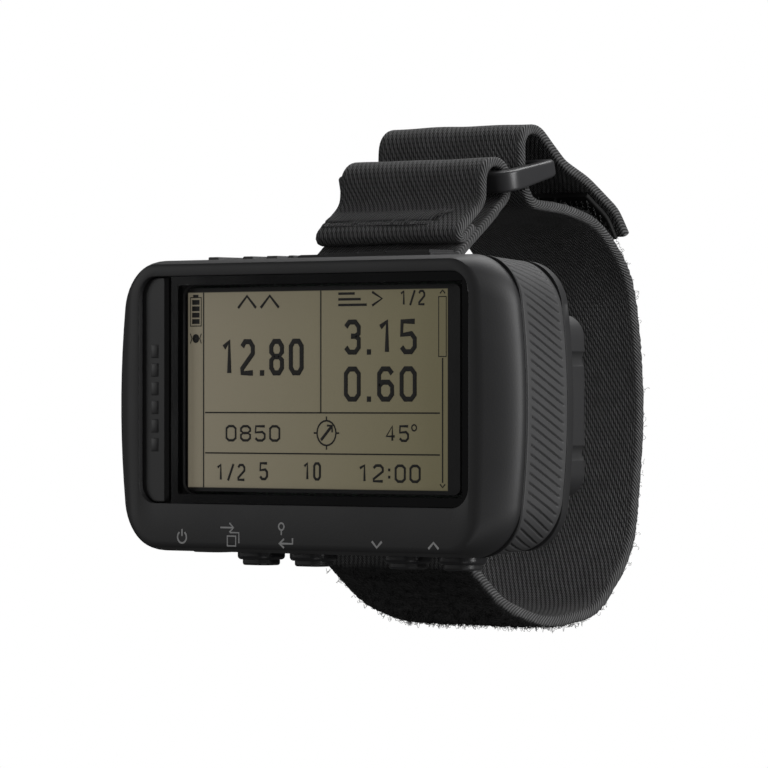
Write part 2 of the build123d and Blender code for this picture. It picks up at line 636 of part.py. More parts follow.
collar_points = [(x, behind(BUTTON_DEPTH)) for key, x in BUTTON_X.items() if key != "power"]
with BuildPart() as button_collars:
    with BuildSketch(Plane.XY.offset(COLLAR_LOW)):
        with Locations(*collar_points):
            RectangleRounded(*COLLAR)
    extrude(amount=POCKET_TOP - COLLAR_LOW)
    fillet(button_collars.faces().filter_by(Plane.XY).group_by(Axis.Z)[0].edges(), 0.55)
    with BuildSketch(Plane.XY.offset(COLLAR_LOW)):
        with Locations(*collar_points):
            RectangleRounded(CAP[0] + 2 * RUN_GAP, CAP[1] + 2 * RUN_GAP, CAP[2])
    extrude(amount=POCKET_TOP - COLLAR_LOW, mode=Mode.SUBTRACT)
finish(button_collars, "button_collars")

key_points = [(x, behind(BUTTON_DEPTH)) for x in BUTTON_X.values()]
with BuildPart() as button_seals:
    with BuildSketch(Plane.XY.offset(-hollow[1] / 2 - SEAL_DEEP)):
        with Locations(*key_points):
            Circle(SEAL_RADIUS)
            Circle(STEM_RADIUS + RUN_GAP, mode=Mode.SUBTRACT)
    extrude(amount=SEAL_DEEP - 0.1)
finish(button_seals, "button_seals")

with BuildPart() as button_switches:
    nub_low = STEM_TOP + SWITCH_GAP
    for x in BUTTON_X.values():
        add(slab((x - SWITCH_HALF, board_back, nub_low + SWITCH_NUB),
                 (x + SWITCH_HALF, board_back + 1.5, nub_low + SWITCH_NUB + SWITCH_LONG)))
        with BuildSketch(Plane.XY.offset(nub_low)):
            with Locations((x, behind(BUTTON_DEPTH + 0.3))):
                Circle(0.6)
        extrude(amount=SWITCH_NUB)
finish(button_switches, "button_switches")

# ---- battery bay ----
cell_low = BAY_RIGHT - 0.6 - CELL_LENGTH
for name, side in (("battery_upper", 1), ("battery_lower", -1)):
    # the two cells lie head to tail
    can_from = cell_low if side > 0 else cell_low + CELL_NUB
    nub_from = cell_low + CELL_LENGTH - CELL_NUB if side > 0 else cell_low
    with BuildPart() as cell:
        with BuildSketch(Plane.YZ.offset(can_from)):
            with Locations(side_point(CELL_DEPTH, side * CELL_PITCH / 2)):
                Circle(CELL_RADIUS)
        extrude(amount=CELL_LENGTH - CELL_NUB)
        chamfer(cell.edges().filter_by(GeomType.CIRCLE), 0.4)
        with BuildSketch(Plane.YZ.offset(nub_from)):
            with Locations(side_point(CELL_DEPTH, side * CELL_PITCH / 2)):
                Circle(1.8)
        extrude(amount=CELL_NUB)
    finish(cell, name)

plate_thick = 0.3
with BuildPart() as battery_contacts:
    for side in (-1, 1):
        mid = side * CELL_PITCH / 2
        for left in (BAY_LEFT, BAY_RIGHT - plate_thick):
            add(slab((left, CELL_DEPTH - 4, mid - 4), (left + plate_thick, CELL_DEPTH + 4, mid + 4)))
finish(battery_contacts, "battery_contacts")

spring_from = BAY_LEFT + plate_thick + SPRING_WIRE
spring_length = cell_low - spring_from - SPRING_WIRE - 0.1
with BuildPart() as battery_springs:
    for side in (-1, 1):
        start = (spring_from, *side_point(CELL_DEPTH, side * CELL_PITCH / 2))
        with BuildLine() as coil:
            Helix(pitch=spring_length / SPRING_TURNS, height=spring_length, radius=SPRING_RADIUS,
                  center=start, direction=(1, 0, 0))
        with BuildSketch(Plane(origin=coil.line @ 0, z_dir=coil.line % 0)):
            Circle(SPRING_WIRE)
        sweep()
finish(battery_springs, "battery_springs")

# ---- battery cover, its seal, foam and latch ----
cover_middle = COVER_BACK - LATCH_POCKET_DEEP
with BuildPart() as battery_cover:
    with BuildSketch(at_depth(COVER_START)):
        RectangleRounded(COVER_WIDTH, 2 * COVER_HALF_HEIGHT, COVER_RADIUS)
        # finger scallops at both ends
        scallops = [(sx * (cover_half_width + SCALLOP_RADIUS - 0.4), sz * 6.6)
                    for sx in (-1, 1) for sz in (-1, 1)]
        with Locations(*scallops):
            Circle(SCALLOP_RADIUS, mode=Mode.SUBTRACT)
    extrude(amount=COVER_START - COVER_BACK)
    fillet(battery_cover.faces().sort_by(Axis.Y)[-1].edges(), 0.8)
    # channel that the strap runs in
    channel_half = HALF_STRAP + STRAP_ROOM
    add(slab((-channel_half, COVER_BACK - CHANNEL_DEEP, -big), (channel_half, COVER_BACK + 3, big)),
        mode=Mode.SUBTRACT)
    # hollow over the cells
    add(slab((BAY_LEFT - BAY_CLEAR, COVER_START - 1, -BAY_HALF_HEIGHT + 0.1),
             (BAY_RIGHT + BAY_CLEAR, COVER_BACK - COVER_WALL, BAY_HALF_HEIGHT - 0.1)), mode=Mode.SUBTRACT)
    # pocket of the D-ring and bore of the latch
    with BuildSketch(at_depth(COVER_BACK + 1)):
        with Locations((LATCH_X, 0)):
            Circle(LATCH_POCKET_RADIUS)
    extrude(amount=1 + LATCH_POCKET_DEEP, mode=Mode.SUBTRACT)
    with BuildSketch(at_depth(COVER_BACK)):
        with Locations((LATCH_X, 0)):
            Circle(LATCH_HEAD_RADIUS + RUN_GAP)
    extrude(amount=COVER_BACK - LATCH_SEAT, mode=Mode.SUBTRACT)
    with BuildSketch(at_depth(COVER_BACK)):
        with Locations((LATCH_X, 0)):
            Circle(LATCH_SHANK_RADIUS + RUN_GAP)
    extrude(amount=COVER_BACK - COVER_START + 1, mode=Mode.SUBTRACT)
finish(battery_cover, "battery_cover")

with BuildPart() as cover_seal:
    with BuildSketch(at_depth(COVER_START - COVER_SEAL)):
        RectangleRounded(COVER_WIDTH - 2.4, 2 * COVER_HALF_HEIGHT - 1.4, COVER_RADIUS - 0.8)
        with Locations(((BAY_LEFT + BAY_RIGHT) / 2, 0)):
            Rectangle(BAY_RIGHT - BAY_LEFT + 0.6, 2 * BAY_HALF_HEIGHT + 0.4, mode=Mode.SUBTRACT)
        with Locations((LATCH_X, 0)):
            Circle(INSERT_RADIUS + 0.4, mode=Mode.SUBTRACT)
    extrude(amount=-COVER_SEAL)
finish(cover_seal, "cover_seal")

with BuildPart() as cover_foam:
    cell_back = CELL_DEPTH + CELL_RADIUS + 0.03
    for side in (-1, 1):
        mid = side * CELL_PITCH / 2
        add(slab((FOAM_LEFT, cell_back, mid - FOAM_HALF),
                 (FOAM_RIGHT, COVER_BACK - COVER_WALL, mid + FOAM_HALF)))
finish(cover_foam, "cover_foam")

with BuildPart() as latch_screw:
    with BuildSketch(at_depth(REAR_DEPTH - INSERT_LENGTH + 0.4)):
        with Locations((LATCH_X, 0)):
            Circle(LATCH_SHANK_RADIUS)
    extrude(amount=REAR_DEPTH - INSERT_LENGTH + 0.4 - LATCH_SEAT - 0.5)
    with BuildSketch(at_depth(LATCH_SEAT + 0.03)):
        with Locations((LATCH_X, 0)):
            Circle(LATCH_HEAD_RADIUS)
    extrude(amount=LATCH_SEAT + 0.03 - cover_middle)
    # bridge that the D-ring hinges in
    with BuildSketch(at_depth(cover_middle)):
        with Locations((LATCH_X, 0)):
            Rectangle(*LATCH_BRIDGE)
    extrude(amount=cover_middle - D_DEPTH - LATCH_BRIDGE[0] / 2 + 0.4)
    fillet(latch_screw.faces().sort_by(Axis.Y)[-1].edges().filter_by(Axis.Z), 0.7)
    with BuildSketch(Plane.XY.offset(-LATCH_BRIDGE[1])):
        with Locations((LATCH_X, behind(D_DEPTH))):
            Circle(D_WIRE + RUN_GAP)
    extrude(amount=2 * LATCH_BRIDGE[1], mode=Mode.SUBTRACT)
finish(latch_screw, "latch_screw")

with BuildPart() as d_ring:
    # straight pivot and a half-round bow, in one closed loop
    with BuildLine(at_depth(D_DEPTH)) as bow:
        leg = D_RADIUS - D_BEND
        Line((LATCH_X, 0), (LATCH_X, leg))
        JernArc(start=(LATCH_X, leg), tangent=(0, 1), radius=D_BEND, arc_size=-90)
        JernArc(start=bow.line @ 1, tangent=(1, 0), radius=D_RADIUS, arc_size=-180)
        JernArc(start=bow.line @ 1, tangent=(-1, 0), radius=D_BEND, arc_size=-90)
        Line(bow.line @ 1, (LATCH_X, 0))
    with BuildSketch(Plane(origin=(LATCH_X, behind(D_DEPTH), 0), z_dir=(0, 0, 1))):
        Circle(D_WIRE)
    sweep(transition=Transition.ROUND)
finish(d_ring, "d_ring")

# ---- strap and ring ----
tilt = radians(RING_TILT)
fold_low = RING_FRONT[1] - FOLD_RADIUS
fold_high = RING_FRONT[1] + FOLD_RADIUS
fold_front = RING_FRONT[0] - FOLD_RADIUS
fold_back = RING_FRONT[0] + FOLD_RADIUS
around_bar = BAR_RADIUS + BAR_GAP + STRAP_THICK / 2
bar_corner = (BAR_DEPTH - 1.40 * around_bar, BAR_Z + 0.20 * around_bar)


def above(back, height):
    """A point of the strap's side view, behind the upper bar and above it."""
    return BAR_DEPTH + back, BAR_Z + height


def below(back, height):
    """The same behind the lower bar and under it."""
    return BAR_DEPTH + back, -BAR_Z - height


fold_start = above(6.7, 7.9)
loop_corners = [
    below(8.3, 9.2), below(18.8, 12.6), below(30.8, 11.3), below(38.8, 2.2), (BAR_DEPTH + 41.9, 0.0),
    above(38.8, 0.2), above(30.8, 7.6), above(22.8, 9.4),
]
loop_radii = [16, 22, 10, 14, 60, 14, 12, 30]
loop_end = above(14.9, 10.0)
cover_corners = [above(3.2, -6.9), (BAR_DEPTH + 3.8, 0), below(3.2, -6.9)]


def ribbon(points, radii, thick=STRAP_THICK, width=STRAP_WIDTH):
    """Flat band of cloth along a side-view path, with rounded bends."""
    with BuildPart() as band:
        with BuildSketch(Plane.YZ):
            with BuildLine():
                FilletPolyline(*[side_point(*p) for p in points], radius=radii)
            trace(line_width=thick)
        extrude(amount=width / 2, both=True)
    return band


strap_band = ribbon(
    [fold_start, bar_corner, *cover_corners, (bar_corner[0], -bar_corner[1]), *loop_corners, loop_end],
    [around_bar, 3, 30, 3, around_bar, *loop_radii])
finish(strap_band, "strap_band")

# the hem ends clear of the band that it lies on
rise = (fold_start[1] - bar_corner[1]) / (fold_start[0] - bar_corner[0])
band_slope = atan2(fold_start[1] - bar_corner[1], fold_start[0] - bar_corner[0])
hem_stack = STRAP_THICK + HEM_THICK + HEM_GAP
hem_end = (bar_corner[0] + HEM_ALONG * cos(band_slope) - hem_stack * sin(band_slope),
           bar_corner[1] + HEM_ALONG * sin(band_slope) + hem_stack * cos(band_slope))
first_corner = (fold_back, fold_start[1] + rise * (fold_back - fold_start[0]))
strap_fold = ribbon(
    [fold_start, first_corner, (fold_back, fold_high), (fold_front, fold_high),
     (fold_front, fold_low - 0.1), hem_end],
    [2.2, FOLD_RADIUS - 0.05, FOLD_RADIUS - 0.05, 2.6])
finish(strap_fold, "strap_fold")

hem_shift = (STRAP_THICK + HEM_THICK) / 2
hem_slope = atan2(fold_low - 0.1 - hem_end[1], fold_front - hem_end[0])
hem_from = (hem_end[0] + hem_shift * sin(hem_slope), hem_end[1] - hem_shift * cos(hem_slope))
with BuildPart() as strap_hem:
    with BuildSketch(Plane.YZ):
        with BuildLine():
            Line(side_point(*hem_from), side_point(hem_from[0] + HEM_LENGTH * cos(hem_slope),
                                                   hem_from[1] + HEM_LENGTH * sin(hem_slope)))
        trace(line_width=HEM_THICK)
    extrude(amount=HALF_STRAP, both=True)
finish(strap_hem, "strap_hem")

ring_plane = Plane(origin=(0, behind(RING_FRONT[0]), RING_FRONT[1]), x_dir=(1, 0, 0),
                   z_dir=(0, -sin(tilt), cos(tilt)))
ring_middle = (RING_LENGTH - RING_FRONT_BAR) / 2
opening_length = RING_LENGTH - RING_FRONT_BAR - RING_REAR_BAR
opening_middle = RING_FRONT_BAR / 2 + opening_length / 2
with BuildPart() as ring_wedge:
    # thinner towards the rear bar
    ring_side = Plane(origin=ring_plane.origin, x_dir=ring_plane.y_dir, z_dir=(1, 0, 0))
    with BuildSketch(ring_side):
        front = -RING_FRONT_BAR / 2
        back = RING_LENGTH - RING_FRONT_BAR / 2
        with BuildLine():
            Polyline((front - 1, RING_THICK_FRONT / 2),
                     (RING_FRONT_BAR / 2 + 1, RING_THICK_FRONT / 2),
                     (back + 1, RING_THICK_REAR / 2), (back + 1, -RING_THICK_REAR / 2),
                     (RING_FRONT_BAR / 2 + 1, -RING_THICK_FRONT / 2), (front - 1, -RING_THICK_FRONT / 2),
                     close=True)
        make_face()
    extrude(amount=RING_HALF_WIDTH + 5, both=True)

with BuildPart() as buckle_ring:
    with BuildSketch(ring_plane):
        with Locations((0, ring_middle)):
            RectangleRounded(2 * RING_HALF_WIDTH, RING_LENGTH, RING_RADIUS)
        with Locations((0, opening_middle)):
            RectangleRounded(2 * (RING_HALF_WIDTH - RING_SIDE), opening_length, 0.6, mode=Mode.SUBTRACT)
    extrude(amount=RING_THICK_FRONT, both=True)
    add(ring_wedge.part, mode=Mode.INTERSECT)
    fillet(buckle_ring.edges().filter_by(Axis.X), 0.45)
finish(buckle_ring, "buckle_ring")

strap_wrap = ribbon([above(13.4, 12.3), above(12.6, 14.3), above(12.6, 20.8), above(16.6, 21.0),
                     above(19.4, 18.5)], [3, 2.6, 2.8])
finish(strap_wrap, "strap_wrap")

tab_points = [PEEL_AXIS, above(22.5, 16.1), above(28.3, 13.9), above(35.3, 9.5), above(37.7, 6.1)]
strap_tab = ribbon(tab_points, [4, 12, TAB_END_BEND])
finish(strap_tab, "strap_tab")


def shifted(point, toward, shift, start=0.0):
    """A point moved along the way to the next one, then aside by a shift."""
    run, fall = toward[0] - point[0], toward[1] - point[1]
    length = hypot(run, fall)
    run, fall = run / length, fall / length
    return point[0] + start * run + shift * fall, point[1] + start * fall - shift * run


def hook_knee(points, shift):
    """Where two runs meet again after both are moved aside by a shift."""
    first, knee, last = points
    ways = [atan2(b[1] - a[1], b[0] - a[0]) for a, b in ((first, knee), (knee, last))]
    middle = (ways[0] + ways[1]) / 2
    reach = shift / cos((ways[1] - ways[0]) / 2)
    return knee[0] + reach * sin(middle), knee[1] - reach * cos(middle)


hook_shift = (STRAP_THICK + HOOK_THICK) / 2 + 0.01
hook_from = shifted(tab_points[2], tab_points[3], hook_shift, start=1.8)
hook_to = shifted(tab_points[3], tab_points[4], hook_shift, start=3.9)
hook_patch = ribbon([hook_from, hook_knee(tab_points[2:], hook_shift), hook_to],
                    [TAB_END_BEND - hook_shift], thick=HOOK_THICK, width=STRAP_WIDTH - 2)
finish(hook_patch, "hook_patch")
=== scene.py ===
# %% [markdown]
# # A wrist-worn navigation receiver on an elastic strap
# This is a small rugged instrument: a moulded case with a wide window, a rubbery grip band round its
# middle, keys along its lower edge and a woven strap that passes behind it. The shells could all be box
# modelled by eye, but they have to sit on the engineering model.

# %% Load the frame
import json
import random
from math import atan2, ceil, cos, pi, radians, sin, tan

import bmesh
import bpy
from mathutils import Matrix, Vector, noise

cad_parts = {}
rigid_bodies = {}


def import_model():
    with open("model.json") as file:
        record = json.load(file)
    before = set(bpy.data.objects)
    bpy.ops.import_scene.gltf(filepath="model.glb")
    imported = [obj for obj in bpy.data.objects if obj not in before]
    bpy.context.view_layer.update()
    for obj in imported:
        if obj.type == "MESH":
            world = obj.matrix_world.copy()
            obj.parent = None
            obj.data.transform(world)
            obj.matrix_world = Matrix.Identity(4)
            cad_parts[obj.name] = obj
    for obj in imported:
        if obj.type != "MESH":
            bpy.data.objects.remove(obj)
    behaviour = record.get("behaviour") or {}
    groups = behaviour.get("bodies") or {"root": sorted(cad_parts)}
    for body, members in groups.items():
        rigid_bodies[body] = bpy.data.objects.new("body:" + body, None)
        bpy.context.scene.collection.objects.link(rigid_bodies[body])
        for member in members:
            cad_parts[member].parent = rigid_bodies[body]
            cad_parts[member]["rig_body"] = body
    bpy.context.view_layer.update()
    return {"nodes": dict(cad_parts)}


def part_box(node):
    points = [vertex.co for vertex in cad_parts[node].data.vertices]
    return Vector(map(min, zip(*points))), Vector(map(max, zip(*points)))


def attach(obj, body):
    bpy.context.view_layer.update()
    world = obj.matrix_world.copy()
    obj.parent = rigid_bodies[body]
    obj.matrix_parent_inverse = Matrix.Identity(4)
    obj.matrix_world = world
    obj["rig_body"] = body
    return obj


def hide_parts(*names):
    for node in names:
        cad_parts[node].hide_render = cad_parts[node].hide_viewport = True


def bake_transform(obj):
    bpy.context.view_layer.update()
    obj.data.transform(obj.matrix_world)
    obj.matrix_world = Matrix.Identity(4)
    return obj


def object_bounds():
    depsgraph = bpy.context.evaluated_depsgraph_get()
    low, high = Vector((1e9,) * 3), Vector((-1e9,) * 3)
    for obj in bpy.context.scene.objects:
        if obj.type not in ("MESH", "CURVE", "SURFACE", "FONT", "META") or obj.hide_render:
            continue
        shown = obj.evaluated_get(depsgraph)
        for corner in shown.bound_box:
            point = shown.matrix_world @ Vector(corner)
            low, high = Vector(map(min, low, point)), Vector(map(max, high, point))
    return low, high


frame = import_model()
MM = 0.001
front_low, front_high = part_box("front_case")
WRIST_DEPTH = -front_low.y / MM
print("case in mm:", [round(v / MM, 1) for v in front_high - front_low])


def place(x, depth, z):
    """A point from millimetres along the case, behind its front face and up."""
    return Vector((x, depth - WRIST_DEPTH, z)) * MM


def put_in(name, data):
    """A new object in the scene."""
    made = bpy.data.objects.new(name, data)
    bpy.context.scene.collection.objects.link(made)
    return made


def mesh_of(shell, name):
    """A bmesh as a mesh; the bmesh is freed."""
    mesh = bpy.data.meshes.new(name)
    shell.to_mesh(mesh)
    shell.free()
    return mesh


def clamp(value):
    """A number kept between 0 and 1."""
    return max(0.0, min(1.0, value))


# %% [markdown]
# ## Lights and camera
# Product shots of black gear need light that shapes the edges, because the surfaces themselves give
# little back. A single bright dome would turn black plastic grey. So the dome that the object feels is
# weak, the camera sees a white one, and soft panels do the shaping: one in front on the left, one at the
# right end that the grip band looks into, one above and behind, and a faint one low in front. There is
# no floor, because it would throw light up under the case.

# %% Camera
CAMERA_AT = (479.4, -557.4, 1.4)
CAMERA_WAY = Vector((-0.6394, 0.7688, 0.0023))
camera_data = bpy.data.cameras.new("camera")
camera_data.lens = 244.0
camera_data.sensor_width = 36.0
camera_data.clip_start = 0.01
camera = put_in("camera", camera_data)
camera.location = place(*CAMERA_AT)
camera.rotation_euler = CAMERA_WAY.to_track_quat("-Z", "Y").to_euler()
bpy.context.scene.camera = camera
bpy.context.scene.view_settings.view_transform = "Standard"


# %% Soft panels
def panel(name, at, size, power):
    """A soft area light at a place in metres, turned to the middle of the object."""
    data = bpy.data.lights.new(name, "AREA")
    data.shape = "RECTANGLE"
    data.size, data.size_y = size
    data.energy = power
    light = put_in(name, data)
    light.location = at
    light.rotation_euler = (-Vector(at)).to_track_quat("-Z", "Y").to_euler()


DOME_FELT, DOME_SEEN = 0.065, 1.0
panel("panel_front", (-0.73, -0.53, 0.17), (0.36, 0.40), 1.25)
panel("panel_end", (0.60, -0.02, 0.16), (0.30, 0.50), 4.4)
panel("panel_back", (-0.05, 0.36, 0.62), (0.60, 0.30), 3.4)
panel("panel_low", (0.24, -0.50, -0.34), (0.40, 0.12), 0.35)

world = bpy.data.worlds.new("studio")
world.use_nodes = True
bpy.context.scene.world = world
sky = world.node_tree
seen = sky.nodes.new("ShaderNodeLightPath")
dome = sky.nodes.new("ShaderNodeMix")
dome.data_type = "FLOAT"
dome.inputs["A"].default_value = DOME_FELT
dome.inputs["B"].default_value = DOME_SEEN
sky.links.new(seen.outputs["Is Camera Ray"], dome.inputs["Factor"])
sky.nodes["Background"].inputs["Color"].default_value = (1, 1, 1, 1)
sky.links.new(dome.outputs["Result"], sky.nodes["Background"].inputs["Strength"])


# %% [markdown]
# ## Writing shader maths as sums
# A finish is a chain of nodes, and a chain is easier to read as an expression. One small class wraps an
# output socket, so that adding or multiplying two of them adds a Math node. Everything that isn't
# arithmetic comes from one method, which takes the node's type, its settings and its inputs.

# %% The socket class and the finish class
class Wire:
    """An output of a shader node; arithmetic on it adds Math nodes."""

    def __init__(self, tree, socket):
        self.tree = tree
        self.socket = socket

    def maths(self, operation, *values):
        node = self.tree.nodes.new("ShaderNodeMath")
        node.operation = operation
        for slot, value in zip(node.inputs, values):
            if isinstance(value, Wire):
                self.tree.links.new(value.socket, slot)
            else:
                slot.default_value = value
        return Wire(self.tree, node.outputs[0])

    def __add__(self, other):
        return self.maths("ADD", self, other)

    def __radd__(self, other):
        return self.maths("ADD", other, self)

    def __sub__(self, other):
        return self.maths("SUBTRACT", self, other)

    def __rsub__(self, other):
        return self.maths("SUBTRACT", other, self)

    def __mul__(self, other):
        return self.maths("MULTIPLY", self, other)

    def __rmul__(self, other):
        return self.maths("MULTIPLY", other, self)

    def __truediv__(self, other):
        return self.maths("DIVIDE", self, other)

    def __pow__(self, other):
        return self.maths("POWER", self, other)


class Finish:
    """A procedural material: one Principled shader and what feeds it."""

    def __init__(self, name, **constants):
        self.material = bpy.data.materials.new(name)
        self.material.use_nodes = True
        self.tree = self.material.node_tree
        self.shader = self.tree.nodes["Principled BSDF"]
        for label, value in constants.items():
            self.shader.inputs[label.replace("_", " ").title().replace("Ior", "IOR")].default_value = value

    def node(self, kind, settings=None, inputs=None, output=0):
        """Any node: settings first, then values or links of its sockets."""
        made = self.tree.nodes.new(kind)
        for key, value in (settings or {}).items():
            setattr(made, key, value)
        for key, value in (inputs or {}).items():
            self.feed(made.inputs[key], value)
        return Wire(self.tree, made.outputs[output])

    def feed(self, slot, value):
        if isinstance(value, Wire):
            self.tree.links.new(value.socket, slot)
        else:
            slot.default_value = value

    def set(self, label, value):
        self.feed(self.shader.inputs[label], value)

    def position(self):
        return self.node("ShaderNodeTexCoord", output="Object")

    def parts(self, vector):
        """The three numbers of a vector."""
        made = self.tree.nodes.new("ShaderNodeSeparateXYZ")
        self.tree.links.new(vector.socket, made.inputs[0])
        return [Wire(self.tree, socket) for socket in made.outputs]

    def blur(self, size, vector=None, detail=2.0):
        """Soft noise whose blotches are about one size across, in metres."""
        return self.node("ShaderNodeTexNoise", None,
                         {"Vector": vector or self.position(), "Scale": 1 / size, "Detail": detail})

    def tint(self, factor, dark, light, blend="MIX"):
        """A colour between two, by a factor from 0 to 1; each is three numbers or a wire."""
        ends = [colour if isinstance(colour, Wire) else (*colour, 1) for colour in (dark, light)]
        return self.node("ShaderNodeMix", {"data_type": "RGBA", "blend_type": blend},
                         {"Factor": factor, 6: ends[0], 7: ends[1]}, output=2)

    def rise(self, value, nothing, full):
        """0 at one value and 1 at another, held beyond them."""
        return self.node("ShaderNodeMapRange", None, {"Value": value, "From Min": nothing, "From Max": full})

    def relief(self, height, depth, normal=None):
        """A bump of so many metres from a height between 0 and 1."""
        inputs = {"Height": height, "Distance": depth, "Strength": 1.0}
        if normal:
            inputs["Normal"] = normal
        self.set("Normal", self.node("ShaderNodeBump", None, inputs))

    def edge(self, radius):
        """1 on a surface's sharp edges and 0 away from them, with the rounded normal."""
        soft = self.node("ShaderNodeBevel", {"samples": 4}, {"Radius": radius})
        flat = self.node("ShaderNodeNewGeometry", output="Normal")
        same = self.node("ShaderNodeVectorMath", {"operation": "DOT_PRODUCT"},
                         {0: soft, 1: flat}, output="Value")
        return self.rise(same, 1.0, 0.8), soft


# %% [markdown]
# ## Moulded plastic and rubber
# Spark-eroded plastic is a field of tiny pits with a slightly uneven colour, and the edges that hands
# rub are a little smoother and lighter. A flat colour with one roughness looks like paint. So each
# moulded finish has a fine relief, a slow drift of tone, and a worn edge found from the surface's own
# corners.

# %% Moulded finishes
ROUND_EDGE = 0.00018


def moulded(name, dark, light, rough=0.55, grain=0.00022, depth=0.000012, worn=1.35):
    """Pitted plastic or rubber: two tones, grain and relief in metres, and how much lighter edges are."""
    finish = Finish(name)
    drift = finish.blur(0.012)
    pits = finish.blur(grain, detail=3.0)
    rubbed, soft = finish.edge(ROUND_EDGE)
    tone = drift * 0.65 + pits * 0.35
    body = finish.tint(tone, dark, light)
    bright = [min(1.0, channel * worn + 0.004) for channel in light]
    wear = rubbed * finish.blur(0.0011, detail=4.0) * 1.1
    finish.set("Base Color", finish.tint(wear, body, bright))
    finish.set("Roughness", rough + 0.10 * drift - 0.12 * wear)
    finish.relief(pits, depth, soft)
    return finish.material


case_black = moulded("case_plastic", (0.0115, 0.0115, 0.0120), (0.0195, 0.0195, 0.0205), rough=0.50)
cover_black = moulded("cover_plastic", (0.0120, 0.0120, 0.0125), (0.0210, 0.0210, 0.0220), rough=0.48)
grip_grey = moulded("grip_rubber", (0.033, 0.033, 0.034), (0.052, 0.052, 0.053), rough=0.56, depth=0.000018)
key_rubber = moulded("key_rubber", (0.014, 0.014, 0.015), (0.025, 0.025, 0.026), rough=0.42, depth=0.000006)
cap_rubber = moulded("cap_rubber", (0.012, 0.012, 0.0125), (0.022, 0.022, 0.023), rough=0.58)
collar_black = moulded("collar_plastic", (0.012, 0.012, 0.013), (0.022, 0.022, 0.024), rough=0.30)
strip_black = moulded("strip_plastic", (0.0075, 0.0075, 0.0080), (0.0125, 0.0125, 0.0130), rough=0.42,
                      depth=0.000003)
ring_black = moulded("ring_plastic", (0.022, 0.022, 0.023), (0.036, 0.036, 0.038), rough=0.34,
                     depth=0.000005)
latch_black = moulded("latch_nylon", (0.016, 0.016, 0.017), (0.030, 0.030, 0.031), rough=0.38)
seal_grey = moulded("silicone_seal", (0.05, 0.05, 0.05), (0.08, 0.08, 0.08), rough=0.6)
gasket_black = moulded("adhesive_gasket", (0.010, 0.010, 0.010), (0.02, 0.02, 0.02), rough=0.8)
switch_black = moulded("switch_moulding", (0.02, 0.02, 0.02), (0.035, 0.035, 0.035), rough=0.5)
light_white = moulded("light_guide", (0.70, 0.71, 0.69), (0.80, 0.81, 0.79), rough=0.25, worn=1.0)
ceramic = moulded("antenna_ceramic", (0.42, 0.38, 0.30), (0.58, 0.53, 0.44), rough=0.5, worn=1.1)
foam_grey = moulded("cell_foam", (0.025, 0.025, 0.026), (0.06, 0.06, 0.06), rough=0.95, grain=0.0005,
                    depth=0.00009)
vent_white = moulded("vent_membrane", (0.42, 0.42, 0.41), (0.58, 0.58, 0.57), rough=0.9, depth=0.00003)
wrap_grey = moulded("cell_sleeve", (0.055, 0.056, 0.062), (0.085, 0.087, 0.095), rough=0.28, depth=0.000002)


# %% [markdown]
# ## Metals and the board
# Small metal pieces show how they were made, by fine lines from drawing, turning or rolling. Squeezed
# noise gives those lines without any picture. The board's solder mask shows its copper as slightly
# raised, lighter tracks.

# %% Metal finishes
SQUEEZE = (1.0, 1.0, 9.0)


def metal(name, dark, light, rough):
    """Metal with drawn lines, which are noise squeezed along one axis."""
    finish = Finish(name, Metallic=1.0)
    stretched = finish.node("ShaderNodeMapping", None, {"Vector": finish.position(), "Scale": SQUEEZE})
    lines = finish.blur(0.0006, stretched, detail=5.0)
    patches = finish.blur(0.003)
    finish.set("Base Color", finish.tint(lines * 0.5 + patches * 0.5, dark, light))
    finish.set("Roughness", rough + 0.18 * patches)
    finish.relief(lines, 0.000006)
    return finish.material


oxide_steel = metal("black_oxide", (0.055, 0.055, 0.06), (0.13, 0.13, 0.135), 0.32)
wire_steel = metal("drawn_wire", (0.42, 0.42, 0.43), (0.66, 0.66, 0.67), 0.22)
tin_steel = metal("tinned_steel", (0.46, 0.46, 0.45), (0.64, 0.64, 0.63), 0.30)
spring_steel = metal("nickel_plate", (0.50, 0.49, 0.46), (0.70, 0.69, 0.66), 0.24)
brass = metal("insert_brass", (0.42, 0.29, 0.10), (0.66, 0.50, 0.22), 0.30)


def board_finish():
    """Solder mask over copper tracks."""
    finish = Finish("solder_mask", Coat_Weight=0.4)
    cells = finish.node("ShaderNodeTexVoronoi", {"feature": "DISTANCE_TO_EDGE"},
                        {"Vector": finish.position(), "Scale": 700.0})
    track = finish.rise(cells, 0.16, 0.08)
    finish.set("Base Color", finish.tint(track, (0.006, 0.040, 0.016), (0.018, 0.085, 0.035)))
    finish.set("Roughness", 0.38 + 0.1 * finish.blur(0.002))
    finish.relief(track, 0.00002)
    return finish.material


board_green = board_finish()

# %% [markdown]
# ## Working with the engineering meshes
# A piece that already has its true shape needs no remodelling. Its mesh arrives as loose triangles,
# which shade as facets. A merged copy, smooth except at its real corners, shades like the moulding, and
# the rounded normal in the finish breaks its edges. The original stays, hidden. The original stays for
# the motion tests.


# %% Smooth copies of finished shapes
def dress(shell, name, material, body, sharp=34.0):
    """Turns a bmesh into a finished piece that rides on a body."""
    for face in shell.faces:
        face.smooth = True
    for edge in shell.edges:
        edge.smooth = edge.calc_face_angle(pi) < radians(sharp)
    mesh = mesh_of(shell, name)
    mesh.materials.append(material)
    made = put_in(name, mesh)
    if body:
        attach(made, body)
    return made


def smooth_copy(node, material, sharp=34.0):
    """A merged copy of a node's mesh in a finish, shown in its place."""
    original = frame["nodes"][node]
    shell = bmesh.new()
    shell.from_mesh(original.data)
    bmesh.ops.remove_doubles(shell, verts=shell.verts, dist=0.000002)
    bmesh.ops.dissolve_degenerate(shell, edges=shell.edges, dist=0.000001)
    made = dress(shell, f"{node}_skin", material, original["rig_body"], sharp)
    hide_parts(node)


